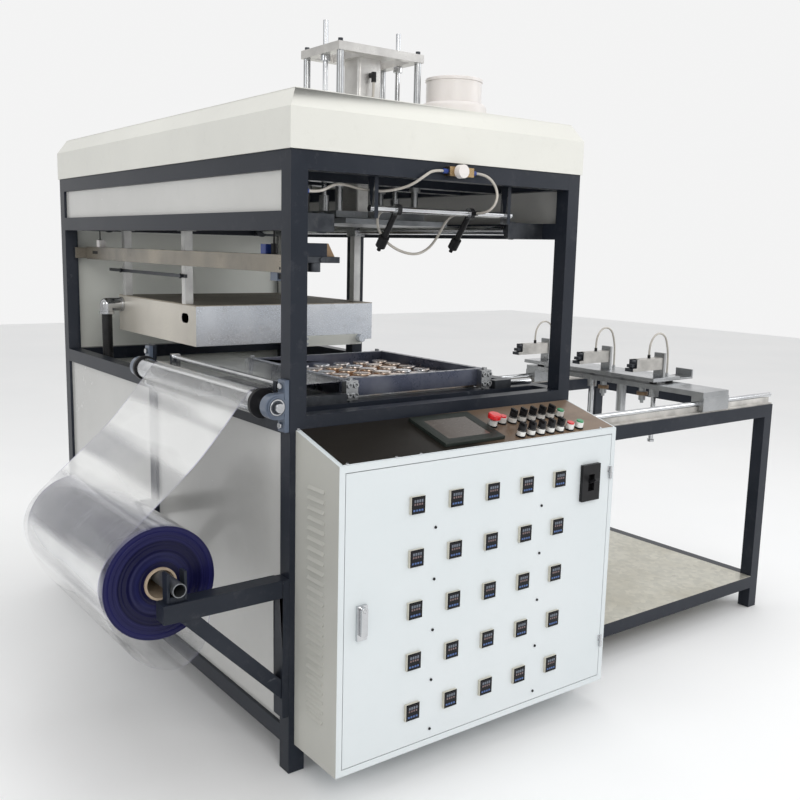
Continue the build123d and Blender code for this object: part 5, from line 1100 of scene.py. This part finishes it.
boxBolts = {"places": ((610, 1122), (640, 1098), (700, 1110), (760, 1122), (830, 1098)), "y": 911.6, "head": 9,
            "high": 2.5}


# Bolts in the seam plate at the near end of the heater box
def makeBoxBolts():
    spots = [at(x, boxBolts["y"], z) for x, z in boxBolts["places"]]
    bolt = screwStamp("boxBoltStamp", boxBolts["head"], boxBolts["high"])
    repeat("boxBolts", [(bolt, blackPlastic)], "heater", spots=spots, turn=(math.pi / 2, 0, 0))


sleeves = {"rows": ((703, 111), (659, 24)), "each": 5, "pitch": 40, "high": 24, "outer": 26.6, "thick": 3,
           "sides": 28}


# A black ring round the top of each selector's sleeve
def makeSleeveRings():
    stamp = Piece("ringStamp")
    r = sleeves["outer"] / 2
    thick = sleeves["thick"]
    stamp.turn(blackPlastic, (0, 0, 0), (0, 0, 1), [
        (0, r - 0.6), (0.5, r), (thick - 0.5, r), (thick, r - 0.6), (thick, r - 1), (0, r - 1), (0, r - 0.6)],
        sleeves["sides"], closed=False)
    spots = [at(*onSlope(x + sleeves["pitch"] * n, s, sleeves["high"] - thick))
             for x, s in sleeves["rows"] for n in range(sleeves["each"])]
    repeat("sleeveRings", [(stampDone(stamp), blackPlastic)], "machine", spots=spots, turn=(lean, 0, 0))


beam = {"face": 76, "slot": ((1660, 1720), (1412, 1424)), "holes": ((150, 1402), (170, 1402), (190, 1402)),
        "hole": 9, "thin": 0.4, "holeThin": 0.5, "plug": ((82, 102), (215, 255), (1366, 1390))}


# A slot and holes in the sensor beam's left side, drawn as thin black marks whose dark is painted shade, and a
# plug under it
def makeBeamMarks():
    piece = Piece("beamMarks")
    face, thin, holeThin = beam["face"], beam["thin"], beam["holeThin"]
    # Painted shade: black marks on the face stand for the dark inside the slot and holes
    piece.block(blackPlastic, (face - thin, face + thin), *beam["slot"])
    for y, z in beam["holes"]:
        piece.rod(blackPlastic, beam["hole"], (face - holeThin, y, z), (face + holeThin, y, z), 16)
    x, y, z = beam["plug"]
    piece.block(bearingPaint, x, y, z)
    piece.block(blackPlastic, (x[0] + 4, x[1] - 4), (y[0] - 14, y[0]), (z[0] + 5, z[1] - 4))
    piece.done("machine", edge=0.0008)


makeFaces()
makeBeamMarks()
makeRimScrews()
makeSheetScrews()
makeMesh()
makeBoxBolts()
makeSleeveRings()
makeBearingRings()
makeFlangeNuts()
print("repeated details made")


# Film web: it hangs in a loose turn under the roll and runs over the guide roller

filmWeb = dressed("filmWeb", "machine", "film_web", clearFilm, edge=0)
print("pieces dressed")


# Floor

def makeFloor():
    s = Shader("paleFloor")
    clouds = s.noise(0.6, 3)
    s.set(Base_Color=s.mix(clouds, studio["floorColour"], studio["floorShade"]), Roughness=clouds * 0.1 + 0.6)
    half = studio["floorHalf"]
    data = bpy.data.meshes.new("floor")
    corners = [(-half, -half, 0), (half, -half, 0), (half, half, 0), (-half, half, 0)]
    data.from_pydata(corners, [], [(0, 1, 2, 3)])
    data.materials.append(s.material)
    floor = bpy.data.objects.new("floor", data)
    floor.location = (0, 0, -studio["floorDrop"])
    scene.collection.objects.link(floor)


makeFloor()
